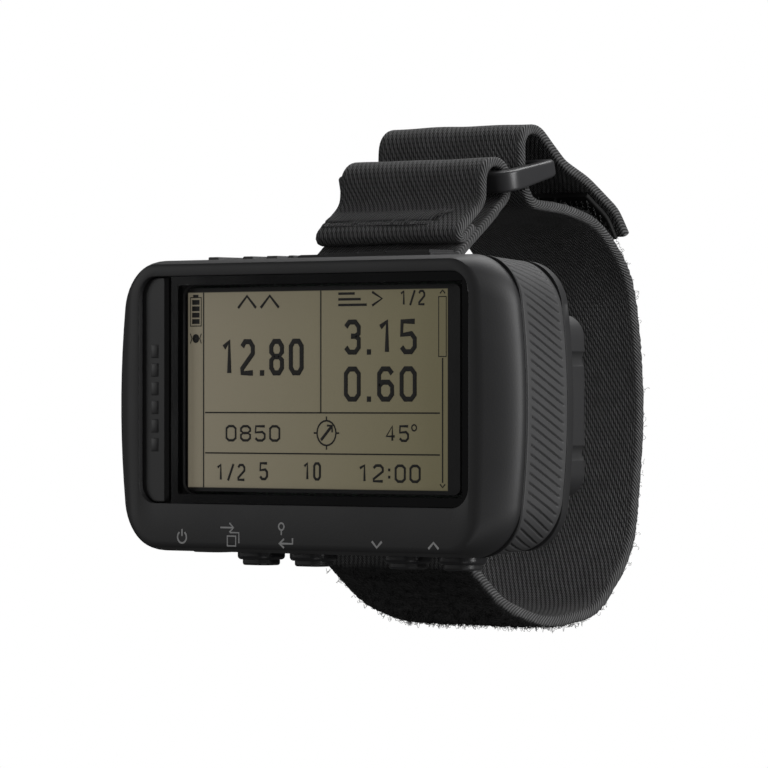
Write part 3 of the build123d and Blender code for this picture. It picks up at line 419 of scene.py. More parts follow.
copies = {
    "rear_case": case_black, "battery_cover": cover_black, "usb_cap": cap_rubber,
    "button_collars": collar_black, "power_button": key_rubber, "page_button": key_rubber,
    "enter_button": key_rubber, "down_button": key_rubber, "up_button": key_rubber,
    "buckle_ring": ring_black, "latch_screw": latch_black, "d_ring": wire_steel,
    "case_screws": oxide_steel, "side_strip": strip_black, "usb_socket": tin_steel,
}
for node, material in copies.items():
    smooth_copy(node, material)

inside = {
    "window_gasket": gasket_black, "backlight_plate": light_white, "main_board": board_green,
    "shield_can": tin_steel, "gps_antenna": ceramic, "buzzer": switch_black, "case_gasket": seal_grey,
    "latch_insert": brass, "baro_vent": vent_white, "button_seals": seal_grey,
    "button_switches": switch_black, "battery_upper": wrap_grey, "battery_lower": wrap_grey,
    "battery_contacts": spring_steel, "battery_springs": spring_steel, "cover_seal": seal_grey,
    "cover_foam": foam_grey,
}
for node, material in inside.items():
    mesh = frame["nodes"][node].data
    mesh.materials.clear()
    mesh.materials.append(material)
print("copied", len(copies), "nodes and painted", len(inside))


# %% [markdown]
# ## Outlines and skins
# The case is a rounded rectangle whose ends bow out, changing slowly with depth. Such a body could be a
# cube under a subdivision surface, but its corners would then wander off the drawing. A skin through
# outlines at known depths keeps every radius. All the outlines of a skin have the same number of points,
# so that each ring can be pulled out of the last one and laid on its own outline.

# %% Outline and skin helpers
QUARTERS = ((1, 1), (-1, 1), (-1, -1), (1, -1))


def outline(width, height, radius, bulge=0.0, centre=(0.0, 0.0), corner=12, sides=(10, 8)):
    """Points round a rounded rectangle in millimetres, from its upper right corner to the left."""
    points = []
    for turn, (sx, sz) in enumerate(QUARTERS):
        middle = (sx * (width / 2 - radius), sz * (height / 2 - radius))
        for step in range(corner + 1):
            angle = (turn + step / corner) * pi / 2
            points.append((middle[0] + radius * cos(angle), middle[1] + radius * sin(angle)))
        after = (turn + 1) % 4
        sx, sz = QUARTERS[after]
        middle = (sx * (width / 2 - radius), sz * (height / 2 - radius))
        goal = (middle[0] + radius * cos(after * pi / 2), middle[1] + radius * sin(after * pi / 2))
        here = points[-1]
        count = sides[turn % 2]
        for step in range(1, count + 1):
            share = step / (count + 1)
            points.append(tuple(a + share * (b - a) for a, b in zip(here, goal)))
    bowed = []
    for x, z in points:
        drawn_in = bulge * (2 * z / height) ** 2 * 2 * x / width
        bowed.append((centre[0] + x - drawn_in, centre[1] + z))
    return bowed


def skin(rings, lay, close=False):
    """A bmesh through rings of points; lay turns a ring's number and a point into a place."""
    shell = bmesh.new()
    station = shell.verts.layers.int.new("station")
    along = shell.verts.layers.int.new("row")
    bmesh.ops.create_circle(shell, segments=len(rings[0]), radius=1.0)
    shell.verts.ensure_lookup_table()
    for number, vert in enumerate(shell.verts):
        vert[station] = number
        vert.co = lay(0, rings[0][number])
    edges = list(shell.edges)
    first = edges
    for row, ring in enumerate(rings[1:], start=1):
        grown = bmesh.ops.extrude_edge_only(shell, edges=edges)["geom"]
        fresh = {item for item in grown if isinstance(item, bmesh.types.BMVert)}
        for vert in fresh:
            vert[along] = row
            vert.co = lay(row, ring[vert[station]])
        edges = [item for item in grown
                 if isinstance(item, bmesh.types.BMEdge) and all(vert in fresh for vert in item.verts)]
    if close:
        bmesh.ops.remove_doubles(shell, verts=shell.verts, dist=0.0000005)
    else:
        bmesh.ops.contextual_create(shell, geom=first)
        bmesh.ops.contextual_create(shell, geom=edges)
    bmesh.ops.recalc_face_normals(shell, faces=shell.faces)
    return shell


def break_edges(shell, offset, angle, segments=3):
    """Rounds every edge sharper than an angle in degrees, by an offset in millimetres."""
    sharp = [edge for edge in shell.edges if edge.calc_face_angle(0) > radians(angle)]
    bmesh.ops.bevel(shell, geom=sharp, offset=offset * MM, offset_type="OFFSET", segments=segments,
                    profile=0.5, affect="EDGES", material=-1, clamp_overlap=True)


# %% [markdown]
# ## The front shell
# The face the wearer reads: a flat frame round the window, a soft edge, and a shoulder that swells to
# the widest rim, then a short lip back to the parting line. Its section goes all the way round, out
# over the shoulder, back inside the wall and up through the window opening, so the piece is one closed
# wall and not a paper surface.

# %% Front shell
CASE_WIDTH, CASE_HEIGHT = ((front_high - front_low) / MM).xz
FACE_WIDTH, FACE_HEIGHT, FACE_RADIUS, FACE_BULGE = 64.8, 40.7, 4.6, 0.6
RIM_DEPTH = 4.2
RIM_RADIUS = 7.2
SHOULDER_POWER = 1.65
END_BULGE = 2.0
TAPER = 0.13
PARTING_DEPTH = (front_high.y - front_low.y) / MM
WALL = 2.4
window_low, window_high = (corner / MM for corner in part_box("window_lens"))
strip_low, strip_high = (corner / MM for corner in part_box("side_strip"))
RECESS_GAP = 0.08
recess_floor = (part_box("window_gasket")[1].y - front_low.y) / MM
recess_centre = ((strip_low.x + window_high.x) / 2, (window_low.z + window_high.z) / 2)
recess_size = (window_high.x - strip_low.x + 2 * RECESS_GAP, window_high.z - window_low.z + 2 * RECESS_GAP)
LEDGE = 1.3
opening_centre = ((window_low.x + window_high.x) / 2, recess_centre[1])
opening_size = (window_high.x - window_low.x - 2 * LEDGE, window_high.z - window_low.z - 2 * LEDGE)


def body_size(depth, inset=0.0):
    """Width, height, radius and bulge of the case behind its rim."""
    lost = TAPER * (depth - RIM_DEPTH) + 2 * inset
    return CASE_WIDTH - lost, CASE_HEIGHT - lost, max(RIM_RADIUS - inset, 1.0), END_BULGE


def shoulder(share):
    """Outline at a share of the way from the flat face to the rim."""
    swell = 1 - (1 - share) ** SHOULDER_POWER
    face = (FACE_WIDTH, FACE_HEIGHT, FACE_RADIUS, FACE_BULGE)
    rim = (CASE_WIDTH, CASE_HEIGHT, RIM_RADIUS, END_BULGE)
    return outline(*(a + swell * (b - a) for a, b in zip(face, rim)))


SHOULDER_STEPS = 14
SHOULDER_FROM = 0.05
LIP = 0.25
recess = outline(*recess_size, 3.0, centre=recess_centre)
opening = outline(*opening_size, 2.0, centre=opening_centre)
cavity = outline(CASE_WIDTH - 8.6, CASE_HEIGHT - 3.6, 4.5, END_BULGE)
sections = [(0.0, recess)]
sections += [(0.0, outline(FACE_WIDTH - 2.4, FACE_HEIGHT - 1.6, FACE_RADIUS - 0.8, FACE_BULGE))]
sections += [(0.05, outline(FACE_WIDTH - 0.9, FACE_HEIGHT - 0.55, FACE_RADIUS - 0.25, FACE_BULGE))]
for step in range(SHOULDER_STEPS + 1):
    share = SHOULDER_FROM + (1 - SHOULDER_FROM) * step / SHOULDER_STEPS
    sections += [(RIM_DEPTH * share, shoulder(share))]
sections += [(RIM_DEPTH + LIP, outline(*body_size(RIM_DEPTH + LIP)))]
sections += [(PARTING_DEPTH, outline(*body_size(PARTING_DEPTH, 0.05)))]
sections += [(PARTING_DEPTH, cavity), (WALL, cavity), (WALL, opening)]
sections += [(recess_floor, opening), (recess_floor, recess), (0.0, recess)]
shell = skin([points for _, points in sections],
             lambda row, point: place(point[0], sections[row][0], point[1]), close=True)
break_edges(shell, 0.22, angle=40.0)
front_shell = dress(shell, "front_shell", case_black, "receiver", sharp=50.0)
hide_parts("front_case")
print("front shell faces:", len(front_shell.data.polygons))

# %% [markdown]
# ## The grip band
# A rubbery skin is moulded round the middle of the case, and slanted finger grooves run across it at
# both ends and round the corners. Grooves could be painted with a bump, but they show on the
# silhouette. Here the band's mesh is woven along the grooves: the columns of its grid lean as the
# grooves do, ten to a groove, and the columns in a groove sink.


# %% Grip band
BAND_START, BAND_END, BAND_THICK = 5.32, 14.98, 0.9
BAND_EDGE = ((0.0, BAND_THICK), (0.0, 0.10), (0.12, 0.0), (0.85, 0.0))
GROOVE_RIM = 1.1
GROOVE_ROWS = 5
GROOVE_PITCH = 1.3
GROOVE_DEEP = 0.30
GROOVE_LEAN = tan(radians(25.0))
GROOVE_FROM_X = 24.0
GROOVE_PROFILE = {4: 0.55, 5: 1.0, 6: 0.55}
COLUMNS = 10


def perimeter(size):
    """Length round an outline, without its bulge."""
    width, height, radius, _ = size
    return 2 * (width - 2 * radius) + 2 * (height - 2 * radius) + 2 * pi * radius


def round_the_case(distance, size, inset=0.0):
    """The point at a distance round an outline, counted upwards from the middle of its right end."""
    width, height, radius, bulge = size
    half_w, half_h, corner = width / 2 - radius, height / 2 - radius, radius * pi / 2
    left = distance % perimeter(size)
    spans = (half_h, corner, 2 * half_w, corner, 2 * half_h, corner, 2 * half_w, corner, half_h)
    number = 0
    while number < 8 and left > spans[number]:
        left -= spans[number]
        number += 1
    turn, cornered = divmod(number, 2)
    if cornered:
        angle = turn * pi / 2 + left / radius
        sx, sz = QUARTERS[turn]
        x = sx * half_w + radius * cos(angle)
        z = sz * half_h + radius * sin(angle)
    else:
        angle = turn * pi / 2
        x = (width / 2, half_w - left, -width / 2, left - half_w, width / 2)[turn]
        z = (left, height / 2, half_h - left, -height / 2, left - half_h)[turn]
    drawn_in = bulge * (2 * z / height) ** 2 * 2 * x / width
    return x - drawn_in - inset * cos(angle), z - inset * sin(angle)


groove_count = round(perimeter(body_size(BAND_START)) / GROOVE_PITCH)
stations = groove_count * COLUMNS
band_middle = (BAND_START + BAND_END) / 2
groove_run = BAND_END - BAND_START - 2 * GROOVE_RIM
rows = [(BAND_START + back, inset, 0) for back, inset in BAND_EDGE]
for step in range(GROOVE_ROWS + 1):
    rows += [(BAND_START + GROOVE_RIM + groove_run * step / GROOVE_ROWS, 0.0, 1)]
rows += [(BAND_END - back, inset, 0) for back, inset in reversed(BAND_EDGE)]
rows += [rows[0]]


def band_place(row, number):
    """A point of the band: its column leans with the grooves, and sinks where a groove is."""
    depth, inset, cut = rows[row]
    size = body_size(depth)
    straight = number / stations * perimeter(size)
    flat = round_the_case(straight, size)
    lean = max(-1.0, min(1.0, flat[0] / 20.0))
    away = straight - lean * GROOVE_LEAN * (depth - band_middle)
    fade = clamp((abs(flat[0]) - GROOVE_FROM_X) / 0.8)
    sunk = GROOVE_DEEP * cut * fade * GROOVE_PROFILE.get(number % COLUMNS, 0.0)
    x, z = round_the_case(away, size, inset + sunk)
    return place(x, depth, z)


shell = skin([list(range(stations))] * len(rows), band_place, close=True)
grip = dress(shell, "grip_band_skin", grip_grey, "receiver", sharp=38.0)
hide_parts("grip_band")
print("grooves round the band:", groove_count, "faces:", len(grip.data.polygons))

# %% Seat of the rubber cap, cut through the band
cap_low, cap_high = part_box("usb_cap")
SEAT_GROWTH = Vector((0.3, 0.3, 4.0)) * MM
cutter_shell = bmesh.new()
bmesh.ops.create_cube(cutter_shell, size=1.0)
bmesh.ops.scale(cutter_shell, vec=cap_high - cap_low + SEAT_GROWTH, verts=cutter_shell.verts)
bmesh.ops.translate(cutter_shell, vec=(cap_low + cap_high) / 2, verts=cutter_shell.verts)
cutter = dress(cutter_shell, "cutter", grip_grey, None)
cut = grip.modifiers.new("seat", "BOOLEAN")
cut.operation = "DIFFERENCE"
cut.solver = "EXACT"
cut.object = cutter
depsgraph = bpy.context.evaluated_depsgraph_get()
whole = bpy.data.meshes.new_from_object(grip.evaluated_get(depsgraph))
grip.modifiers.clear()
grip.data = whole
bpy.data.objects.remove(cutter)

# %% [markdown]
# ## The finger rib on the top edge
# To the left of the rubber cap the band rises into a low rib with three notches, a rest for the
# fingertips. It could be cut from a bar with one cutter per notch. It is simpler as a front outline with
# the notches drawn in, pulled back.

# %% Finger rib
RIB_LEFT = -22.3
RIB_HIGH = 21.5
RIB_LOW = 20.0
NOTCH = 0.45
NOTCH_SLOPE = 0.15
RIB_FRONT, RIB_BACK = 6.0, 12.6
rib_right = cap_low.x / MM - 0.8
profile = [(RIB_LEFT, RIB_LOW), (RIB_LEFT, RIB_HIGH)]
for left, right in ((-20.4, -15.6), (-13.8, -11.1), (-9.2, -7.0)):
    profile += [(left, RIB_HIGH), (left + NOTCH_SLOPE, RIB_HIGH - NOTCH)]
    profile += [(right - NOTCH_SLOPE, RIB_HIGH - NOTCH), (right, RIB_HIGH)]
profile += [(rib_right, RIB_HIGH), (rib_right, RIB_LOW)]
rib = bmesh.new()
corners = [rib.verts.new(place(x, RIB_FRONT, z)) for x, z in profile]
side = rib.faces.new(corners)
pulled = bmesh.ops.extrude_face_region(rib, geom=[side])["geom"]
bmesh.ops.translate(rib, vec=Vector((0, (RIB_BACK - RIB_FRONT) * MM, 0)),
                    verts=[item for item in pulled if isinstance(item, bmesh.types.BMVert)])
bmesh.ops.recalc_face_normals(rib, faces=rib.faces)
break_edges(rib, 0.14, angle=25.0, segments=2)
dress(rib, "finger_rib", grip_grey, "receiver")

# %% [markdown]
# ## The window and what shines through it
# The window is one clear sheet with a black border. Glass could be modelled as real refraction, which is
# slow and needs light inside the case. A sheet that is opaque and glossy in the border and nearly clear
# in the middle gives the same picture. The display behind it has a black border of its own, and both
# edges are exact because masks in millimetres draw them.

# %% Window and display finishes
VIEW_CENTRE = (1.6, 2.27)
VIEW_HALF = (24.1, 14.0)
CLEAR_CENTRE = (3.2, 2.3)
CLEAR_HALF = (26.3, 15.0)
DOT = 0.0002


def view_mask(finish, centre, half, soft=0.00006):
    """1 inside a box in millimetres and 0 in the border round it."""
    x, _, z = finish.parts(finish.position())
    off_x, off_z = x - centre[0] * MM, z - centre[1] * MM
    inside_x = half[0] * MM - off_x.maths("ABSOLUTE", off_x)
    inside_z = half[1] * MM - off_z.maths("ABSOLUTE", off_z)
    return finish.rise(inside_x.maths("MINIMUM", inside_x, inside_z), -soft, soft)


def window_finish():
    """Clear sheet with a black border."""
    finish = Finish("window_glass", Ior=1.5, Coat_Weight=0.25)
    mask = view_mask(finish, CLEAR_CENTRE, CLEAR_HALF)
    smear = finish.blur(0.009, detail=3.0)
    finish.set("Base Color", finish.tint(smear, (0.0022, 0.0022, 0.0026), (0.0048, 0.0049, 0.0055)))
    finish.set("Alpha", 1.0 - 0.90 * mask)
    finish.set("Roughness", 0.07 + 0.05 * smear)
    return finish.material


def display_finish():
    """Olive display with its dots just visible: painted shading makes it lighter on the left and greener and
    darker to the right, and a faint painted glow brightens it.
    """
    # The faint emission on the display is a painted glow.
    finish = Finish("display_olive", Emission_Strength=0.14)
    mask = view_mask(finish, VIEW_CENTRE, VIEW_HALF)
    x = finish.parts(finish.position())[0]
    share = (x - (VIEW_CENTRE[0] - VIEW_HALF[0]) * MM) / (2 * VIEW_HALF[0] * MM)
    # Painted shading: lighter on the left, darker and greener to the right, as the light falls across the
    # display.
    painted_glow_gradient = finish.tint(share, (0.620, 0.550, 0.400), (0.410, 0.365, 0.205))
    upright = finish.node("ShaderNodeMapping", None,
                          {"Vector": finish.position(), "Rotation": (pi / 2, 0.0, 0.0)})
    cells = finish.node("ShaderNodeTexBrick", {"offset": 0.0, "squash": 1.0},
                        {"Vector": upright, "Scale": 1.0, "Color1": (1, 1, 1, 1),
                         "Color2": (0.97, 0.97, 0.97, 1), "Mortar": (0.86, 0.86, 0.86, 1),
                         "Mortar Size": 0.000012, "Brick Width": DOT, "Row Height": DOT})
    toned = finish.tint(0.8, painted_glow_gradient, cells, blend="MULTIPLY")
    shown = finish.tint(mask, (0.004, 0.004, 0.004), toned)
    finish.set("Base Color", shown)
    # The same colour, painted shading included, is given off as the faint painted glow.
    finish.set("Emission Color", shown)
    finish.set("Roughness", 0.55 + 0.1 * finish.blur(0.004))
    return finish.material


smooth_copy("window_lens", window_finish(), sharp=20.0)
smooth_copy("display_module", display_finish(), sharp=20.0)
display_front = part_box("display_module")[0].y / MM + WRIST_DEPTH


def ink_finish(name, dark, light, rough):
    """Printed or switched-on ink, or fine nylon: plain and slightly uneven."""
    finish = Finish(name)
    grain = finish.blur(0.0004, detail=3.0)
    finish.set("Base Color", finish.tint(grain, dark, light))
    finish.set("Roughness", rough + 0.1 * grain)
    return finish.material


ink_dark = ink_finish("display_ink", (0.0095, 0.0085, 0.0055), (0.013, 0.0115, 0.0075), 0.5)
ink_grey = ink_finish("legend_ink", (0.40, 0.40, 0.40), (0.52, 0.52, 0.52), 0.6)

# %% [markdown]
# ## Marks on the display and by the keys
# The readouts are plain numbers and small signs, laid a hair above the display. Lettering could be a
# picture, but real geometry stays sharp however close the camera comes. A typeface would bring curls
# that a coarse display can't show, so each figure is a few even strokes with its corners cut, fitted
# into its box. Lines and signs are bars and bent strokes of the same kind.


# %% Figures as strokes in a unit box
CUT, TOP = 0.16, 0.26
LOWER_BOWL = [(1, 0.44), (1, CUT), (1 - TOP, 0), (TOP, 0), (0, CUT)]
UPPER_BOWL = [(0, 1 - CUT), (TOP, 1), (1 - TOP, 1), (1, 1 - CUT), (1, 0.62)]
FIGURES = {
    "0": [([(0, CUT), (0, 1 - CUT), (TOP, 1), (1 - TOP, 1), (1, 1 - CUT), (1, CUT), (1 - TOP, 0),
            (TOP, 0)], True)],
    "1": [([(0.1, 0.82), (0.6, 1), (0.6, 0)], False)],
    "2": [(UPPER_BOWL + [(0, 0.14), (0, 0), (1, 0)], False)],
    "3": [(UPPER_BOWL + [(0.76, 0.53), (0.4, 0.53)], False),
          ([(0.76, 0.53)] + LOWER_BOWL, False)],
    "4": [([(0.72, 0), (0.72, 1), (0, 0.30), (1, 0.30)], False)],
    "5": [([(1, 1), (0.04, 1), (0, 0.56), (0.74, 0.60)] + LOWER_BOWL, False)],
    "6": [([(1, 1 - CUT), (1 - TOP, 1), (TOP, 1), (0, 1 - CUT), (0, CUT), (TOP, 0), (1 - TOP, 0), (1, CUT),
            (1, 0.42), (1 - TOP, 0.56), (TOP, 0.56), (0, 0.44)], False)],
    "8": [([(0, CUT), (0, 0.40), (TOP, 0.52), (0, 0.66), (0, 1 - CUT), (TOP, 1), (1 - TOP, 1), (1, 1 - CUT),
            (1, 0.66), (1 - TOP, 0.52), (1, 0.40), (1, CUT), (1 - TOP, 0), (TOP, 0)], True),
          ([(TOP, 0.52), (1 - TOP, 0.52)], False)],
    ".": [([(0.5, -0.09), (0.5, 0.09)], False)],
    ":": [([(0.5, 0.18), (0.5, 0.36)], False), ([(0.5, 0.64), (0.5, 0.82)], False)],
    "/": [([(0.05, -0.06), (0.95, 1.06)], False)],
}


# %% Drawing helpers
FIGURE_LINE, FIGURE_GAP, DOT_SHARE = 0.155, 0.30, 0.34
RING_STEPS = 20


class Sheet:
    """A flat drawing in millimetres on a plane that faces the reader."""

    def __init__(self, left, low, depth, thick):
        self.left, self.low, self.depth, self.thick = left, low, depth, thick
        self.shell = bmesh.new()

    def add(self, mesh, scale, shift):
        """Takes in a mesh that lies in XY, scaled and shifted in the drawing's own millimetres."""
        for vert in mesh.vertices:
            x = self.left + shift[0] + vert.co.x * scale[0]
            z = self.low + shift[1] + vert.co.y * scale[1]
            vert.co = place(x, self.depth - vert.co.z * scale[2], z)
        self.shell.from_mesh(mesh)
        bpy.data.meshes.remove(mesh)

    def number(self, text, left, low, width, height):
        """Figures that fill a box, each a few even strokes, as a display's narrow digits are."""
        line = FIGURE_LINE * height
        shares = [DOT_SHARE if sign in ".:" else 1.0 for sign in text]
        pitch = width / (sum(shares) + FIGURE_GAP * (len(text) - 1))
        here = left
        for sign, share in zip(text, shares):
            span = pitch * share
            for points, loop in FIGURES[sign]:
                inner = [(here + line / 2 + x * (span - line), low + line / 2 + y * (height - line))
                         for x, y in points]
                self.stroke(inner, line, loop)
            here += span + FIGURE_GAP * pitch

    def bar(self, left, low, right, high):
        """A filled box."""
        box = bmesh.new()
        bmesh.ops.create_cube(box, size=1.0)
        middle = ((left + right) / 2, (low + high) / 2)
        self.add(mesh_of(box, "bar"), (right - left, high - low, self.thick), middle)

    def stroke(self, points, width, loop=False):
        """A bent line of even width."""
        data = bpy.data.curves.new("stroke", "CURVE")
        data.dimensions = "3D"
        data.bevel_depth = width / 2
        data.bevel_resolution = 1
        data.use_fill_caps = True
        spline = data.splines.new("POLY")
        spline.points.add(len(points) - 1)
        for knot, (x, y) in zip(spline.points, points):
            knot.co = (x, y, 0, 1)
        spline.use_cyclic_u = loop
        holder = put_in("stroke", data)
        depsgraph = bpy.context.evaluated_depsgraph_get()
        mesh = bpy.data.meshes.new_from_object(holder.evaluated_get(depsgraph))
        bpy.data.objects.remove(holder)
        self.add(mesh, (1, 1, self.thick / width), (0, 0))

    def ring(self, x, y, radius, width, gap=0.0):
        """A circle, or one open at the top by a gap in degrees."""
        begin = radians(90 + gap / 2)
        turns = [begin + radians(360 - gap) * step / RING_STEPS for step in range(RING_STEPS + bool(gap))]
        points = [(x + radius * cos(turn), y + radius * sin(turn)) for turn in turns]
        self.stroke(points, width, loop=not gap)


# %% Readouts
screen = Sheet(VIEW_CENTRE[0] - VIEW_HALF[0], VIEW_CENTRE[1] - VIEW_HALF[1], display_front - 0.03, 0.03)
LINE = 0.2
ROW_ONE, ROW_TWO = 10.75, 4.95
SIDE_COLUMN = 3.0
CELL_SPLIT = 25.15
screen.bar(SIDE_COLUMN - LINE / 2, 0, SIDE_COLUMN + LINE / 2, 2 * VIEW_HALF[1])
screen.bar(CELL_SPLIT - LINE / 2, ROW_ONE, CELL_SPLIT + LINE / 2, 2 * VIEW_HALF[1])
for height in (ROW_ONE, ROW_TWO):
    screen.bar(SIDE_COLUMN + 0.3, height - LINE / 2, 46.8, height + LINE / 2)
readouts = [
    ("12.80", 6.3, 16.0, 15.7, 5.3), ("3.15", 29.4, 18.9, 13.3, 5.0), ("0.60", 29.4, 12.3, 13.3, 5.0),
    ("0850", 7.2, 6.6, 10.4, 2.4), ("45", 37.0, 6.7, 4.3, 2.4), ("1/2", 5.4, 0.95, 5.6, 2.5),
    ("5", 13.6, 1.1, 1.7, 2.65), ("10", 21.8, 1.15, 3.4, 2.65), ("12:00", 32.0, 1.0, 11.4, 2.6),
    ("1/2", 39.6, 25.7, 4.6, 2.2),
]
for text, left, low, width, height in readouts:
    screen.number(text, left, low, width, height)
screen.ring(42.2, 8.7, 0.42, 0.22)
# climb sign and drift sign over the two big cells
screen.stroke([(9.6, 25.7), (11.3, 27.4), (13.0, 25.7)], 0.42)
screen.stroke([(13.9, 25.7), (15.6, 27.4), (17.3, 25.7)], 0.42)
for step in range(3):
    screen.bar(28.4, 25.75 + 0.8 * step, 33.6 - 1.1 * step, 26.1 + 0.8 * step)
screen.stroke([(34.6, 25.8), (36.4, 26.75), (34.6, 27.7)], 0.36)
# compass between the small readouts
compass_x, compass_y, compass_radius = 26.2, 7.9, 1.75
screen.ring(compass_x, compass_y, compass_radius, 0.26)
screen.stroke([(25.2, 6.9), (27.2, 8.9)], 0.44)
screen.stroke([(26.3, 8.95), (27.25, 8.95), (27.25, 8.0)], 0.3)
for turn in range(4):
    x, y = cos(turn * pi / 2), sin(turn * pi / 2)
    tick = [(compass_x + reach * x, compass_y + reach * y) for reach in (compass_radius, 2.35)]
    screen.stroke(tick, 0.24)
# charge, fix and scroll signs down the sides
screen.stroke([(0.45, 23.2), (2.55, 23.2), (2.55, 27.3), (0.45, 27.3)], 0.18, loop=True)
screen.bar(1.0, 27.35, 2.0, 27.7)
for step in range(4):
    screen.bar(0.8, 23.5 + 0.92 * step, 2.2, 24.2 + 0.92 * step)
screen.ring(1.5, 21.4, 0.34, 0.62)
for side in (-1, 1):
    screen.stroke([(1.5 + side * 1.05, 20.7), (1.5 + side * 0.75, 21.4), (1.5 + side * 1.05, 22.1)], 0.16)
screen.stroke([(46.6, 18.6), (47.95, 18.6), (47.95, 26.9), (46.6, 26.9)], 0.18, loop=True)
screen.bar(47.2, 1.1, 47.4, 18.4)
screen.stroke([(46.85, 27.35), (47.3, 27.8), (47.75, 27.35)], 0.2)
screen.stroke([(46.85, 0.9), (47.3, 0.45), (47.75, 0.9)], 0.2)
dress(screen.shell, "display_marks", ink_dark, "receiver", sharp=60.0)

# %% Key signs on the frame
legends = Sheet(0.0, 0.0, -0.004, 0.02)
# power key: an open ring with a bar
legends.ring(-22.0, -18.9, 0.85, 0.26, gap=70)
legends.stroke([(-22.0, -17.75), (-22.0, -18.75)], 0.26)
# page key: an arrow over two sheets
legends.stroke([(-14.6, -17.4), (-12.2, -17.4)], 0.24)
legends.stroke([(-12.9, -16.75), (-12.1, -17.4), (-12.9, -18.05)], 0.24)
legends.stroke([(-13.3, -20.0), (-11.7, -20.0), (-11.7, -18.6), (-13.3, -18.6)], 0.26, loop=True)
legends.stroke([(-11.1, -19.6), (-11.1, -18.1), (-12.8, -18.1)], 0.22)
# enter key: a ring on a stem, and a bent arrow
legends.ring(-3.1, -17.1, 0.5, 0.24)
legends.stroke([(-3.1, -17.7), (-3.1, -18.3)], 0.24)
legends.stroke([(-1.0, -18.7), (-1.0, -19.5), (-3.4, -19.5)], 0.30)
legends.stroke([(-2.6, -18.85), (-3.5, -19.5), (-2.6, -20.1)], 0.30)
# down and up keys: an open arrow each
legends.stroke([(13.6, -18.9), (14.5, -19.75), (15.4, -18.9)], 0.34)
legends.stroke([(23.8, -19.75), (24.7, -18.9), (25.6, -19.75)], 0.34)
dress(legends.shell, "key_legends", ink_grey, "receiver", sharp=60.0)

# %% [markdown]
# ## Raised marks on the side strip
# The strip beside the window carries a row of plain raised bars. They are low rounded pads grown from a
# cube, with every edge broken, so that they catch a thin line of light.

# %% Strip marks
PAD_COUNT = 6
PAD_PITCH = 2.7
PAD_SIZE = Vector((1.3, 0.12, 1.9))
pad_x = (strip_low.x + strip_high.x) / 2
pad_depth = strip_low.y + WRIST_DEPTH - 0.02
pads = bmesh.new()
for step in range(PAD_COUNT):
    middle = (step - (PAD_COUNT - 1) / 2) * PAD_PITCH + recess_centre[1] - 1.2
    fresh = bmesh.ops.create_cube(pads, size=1.0)["verts"]
    bmesh.ops.scale(pads, vec=PAD_SIZE * MM, verts=fresh)
    bmesh.ops.translate(pads, vec=place(pad_x, pad_depth, middle), verts=fresh)
break_edges(pads, 0.05, angle=40.0)
dress(pads, "strip_marks", strip_black, "receiver")

# %% [markdown]
# ## Woven strap
# The strap is a thick elastic weave: on its show side steep little ribs stand in staggered rows, and
# the outside of the loop carries a brushed pile that the hook tape grips. Cloth simulation would not
# help a strap that is pulled round bars, so its side view is drawn as runs joined by bends, and a slim
# rounded section is carried along it. Distance along and across the strap becomes the UV map, so the
# weave follows every bend.

# %% Strap finish
WEAVE_ACROSS = 0.00040
WEAVE_ALONG = 0.00125
DASH_LEAN = 0.42
BRAID = 11000.0


def weave_finish(name, dark, light):
    """Staggered leaning ribs from the strap's own UV map, a braided edge, and brushed pile where marked; the
    ribs and braid are painted light on their crowns and dark in the gaps, as painted highlight and shade.
    """
    finish = Finish(name, Sheen_Weight=0.06, Sheen_Roughness=0.5)
    across, along, _ = finish.parts(finish.node("ShaderNodeTexCoord", output="UV"))
    wander = (finish.blur(0.006) - 0.5) * 0.0003
    column = (across + wander) / WEAVE_ACROSS
    number = column.maths("FLOOR", column)
    aside = column - number - 0.5
    row = (along + wander) / WEAVE_ALONG + number * 0.5
    within = row - row.maths("FLOOR", row)
    off = aside + (within - 0.5) * DASH_LEAN
    swell = (within * (1.0 - within) * 4.0) ** 0.55
    slope = 1.0 - 2.6 * off.maths("ABSOLUTE", off)
    height = slope.maths("MAXIMUM", slope, 0.0) ** 0.8 * swell
    pile = finish.node("ShaderNodeAttribute", {"attribute_name": "pile"}, output="Fac")
    edge = finish.node("ShaderNodeAttribute", {"attribute_name": "selvage"}, output="Fac")
    fuzz = finish.blur(0.0005, detail=6.0)
    yarn = finish.blur(0.0016, detail=4.0)
    braid = (across * 0.9 + along) * BRAID
    plait = braid.maths("SINE", braid) * 0.35 + 0.45
    height = height * (1.0 - edge) + plait * edge
    # Painted highlight and shade: the colour follows the rib height, light on the crowns and near black in
    # the gaps, with a random yarn tone on top.
    tone = height ** 1.2 * (0.40 + 1.2 * yarn)
    woven_with_painted_shade = finish.tint(tone, dark, light)
    brushed = finish.tint(fuzz, (0.0008, 0.0008, 0.0008), (0.0042, 0.0042, 0.0043))
    finish.set("Base Color", finish.tint(pile, woven_with_painted_shade, brushed))
    finish.set("Roughness", 0.78 + 0.18 * pile - 0.1 * height)
    finish.relief(height * (1.0 - pile) + fuzz * pile * 1.4, 0.00022)
    return finish.material


# The dark end is the painted shade in the rib gaps, and the light end is the painted highlight on the
# crowns.
weave = weave_finish("strap_weave", (0.0008, 0.0008, 0.0008), (0.135, 0.135, 0.137))


# %% Side routes and straps
STRAP_STEP = 0.55
PARTS_PER_RADIAN = 14
PILE_FADE = 1.5
PILE_MARGIN = 0.8
SELVAGE, SELVAGE_FADE = 0.4, 0.9


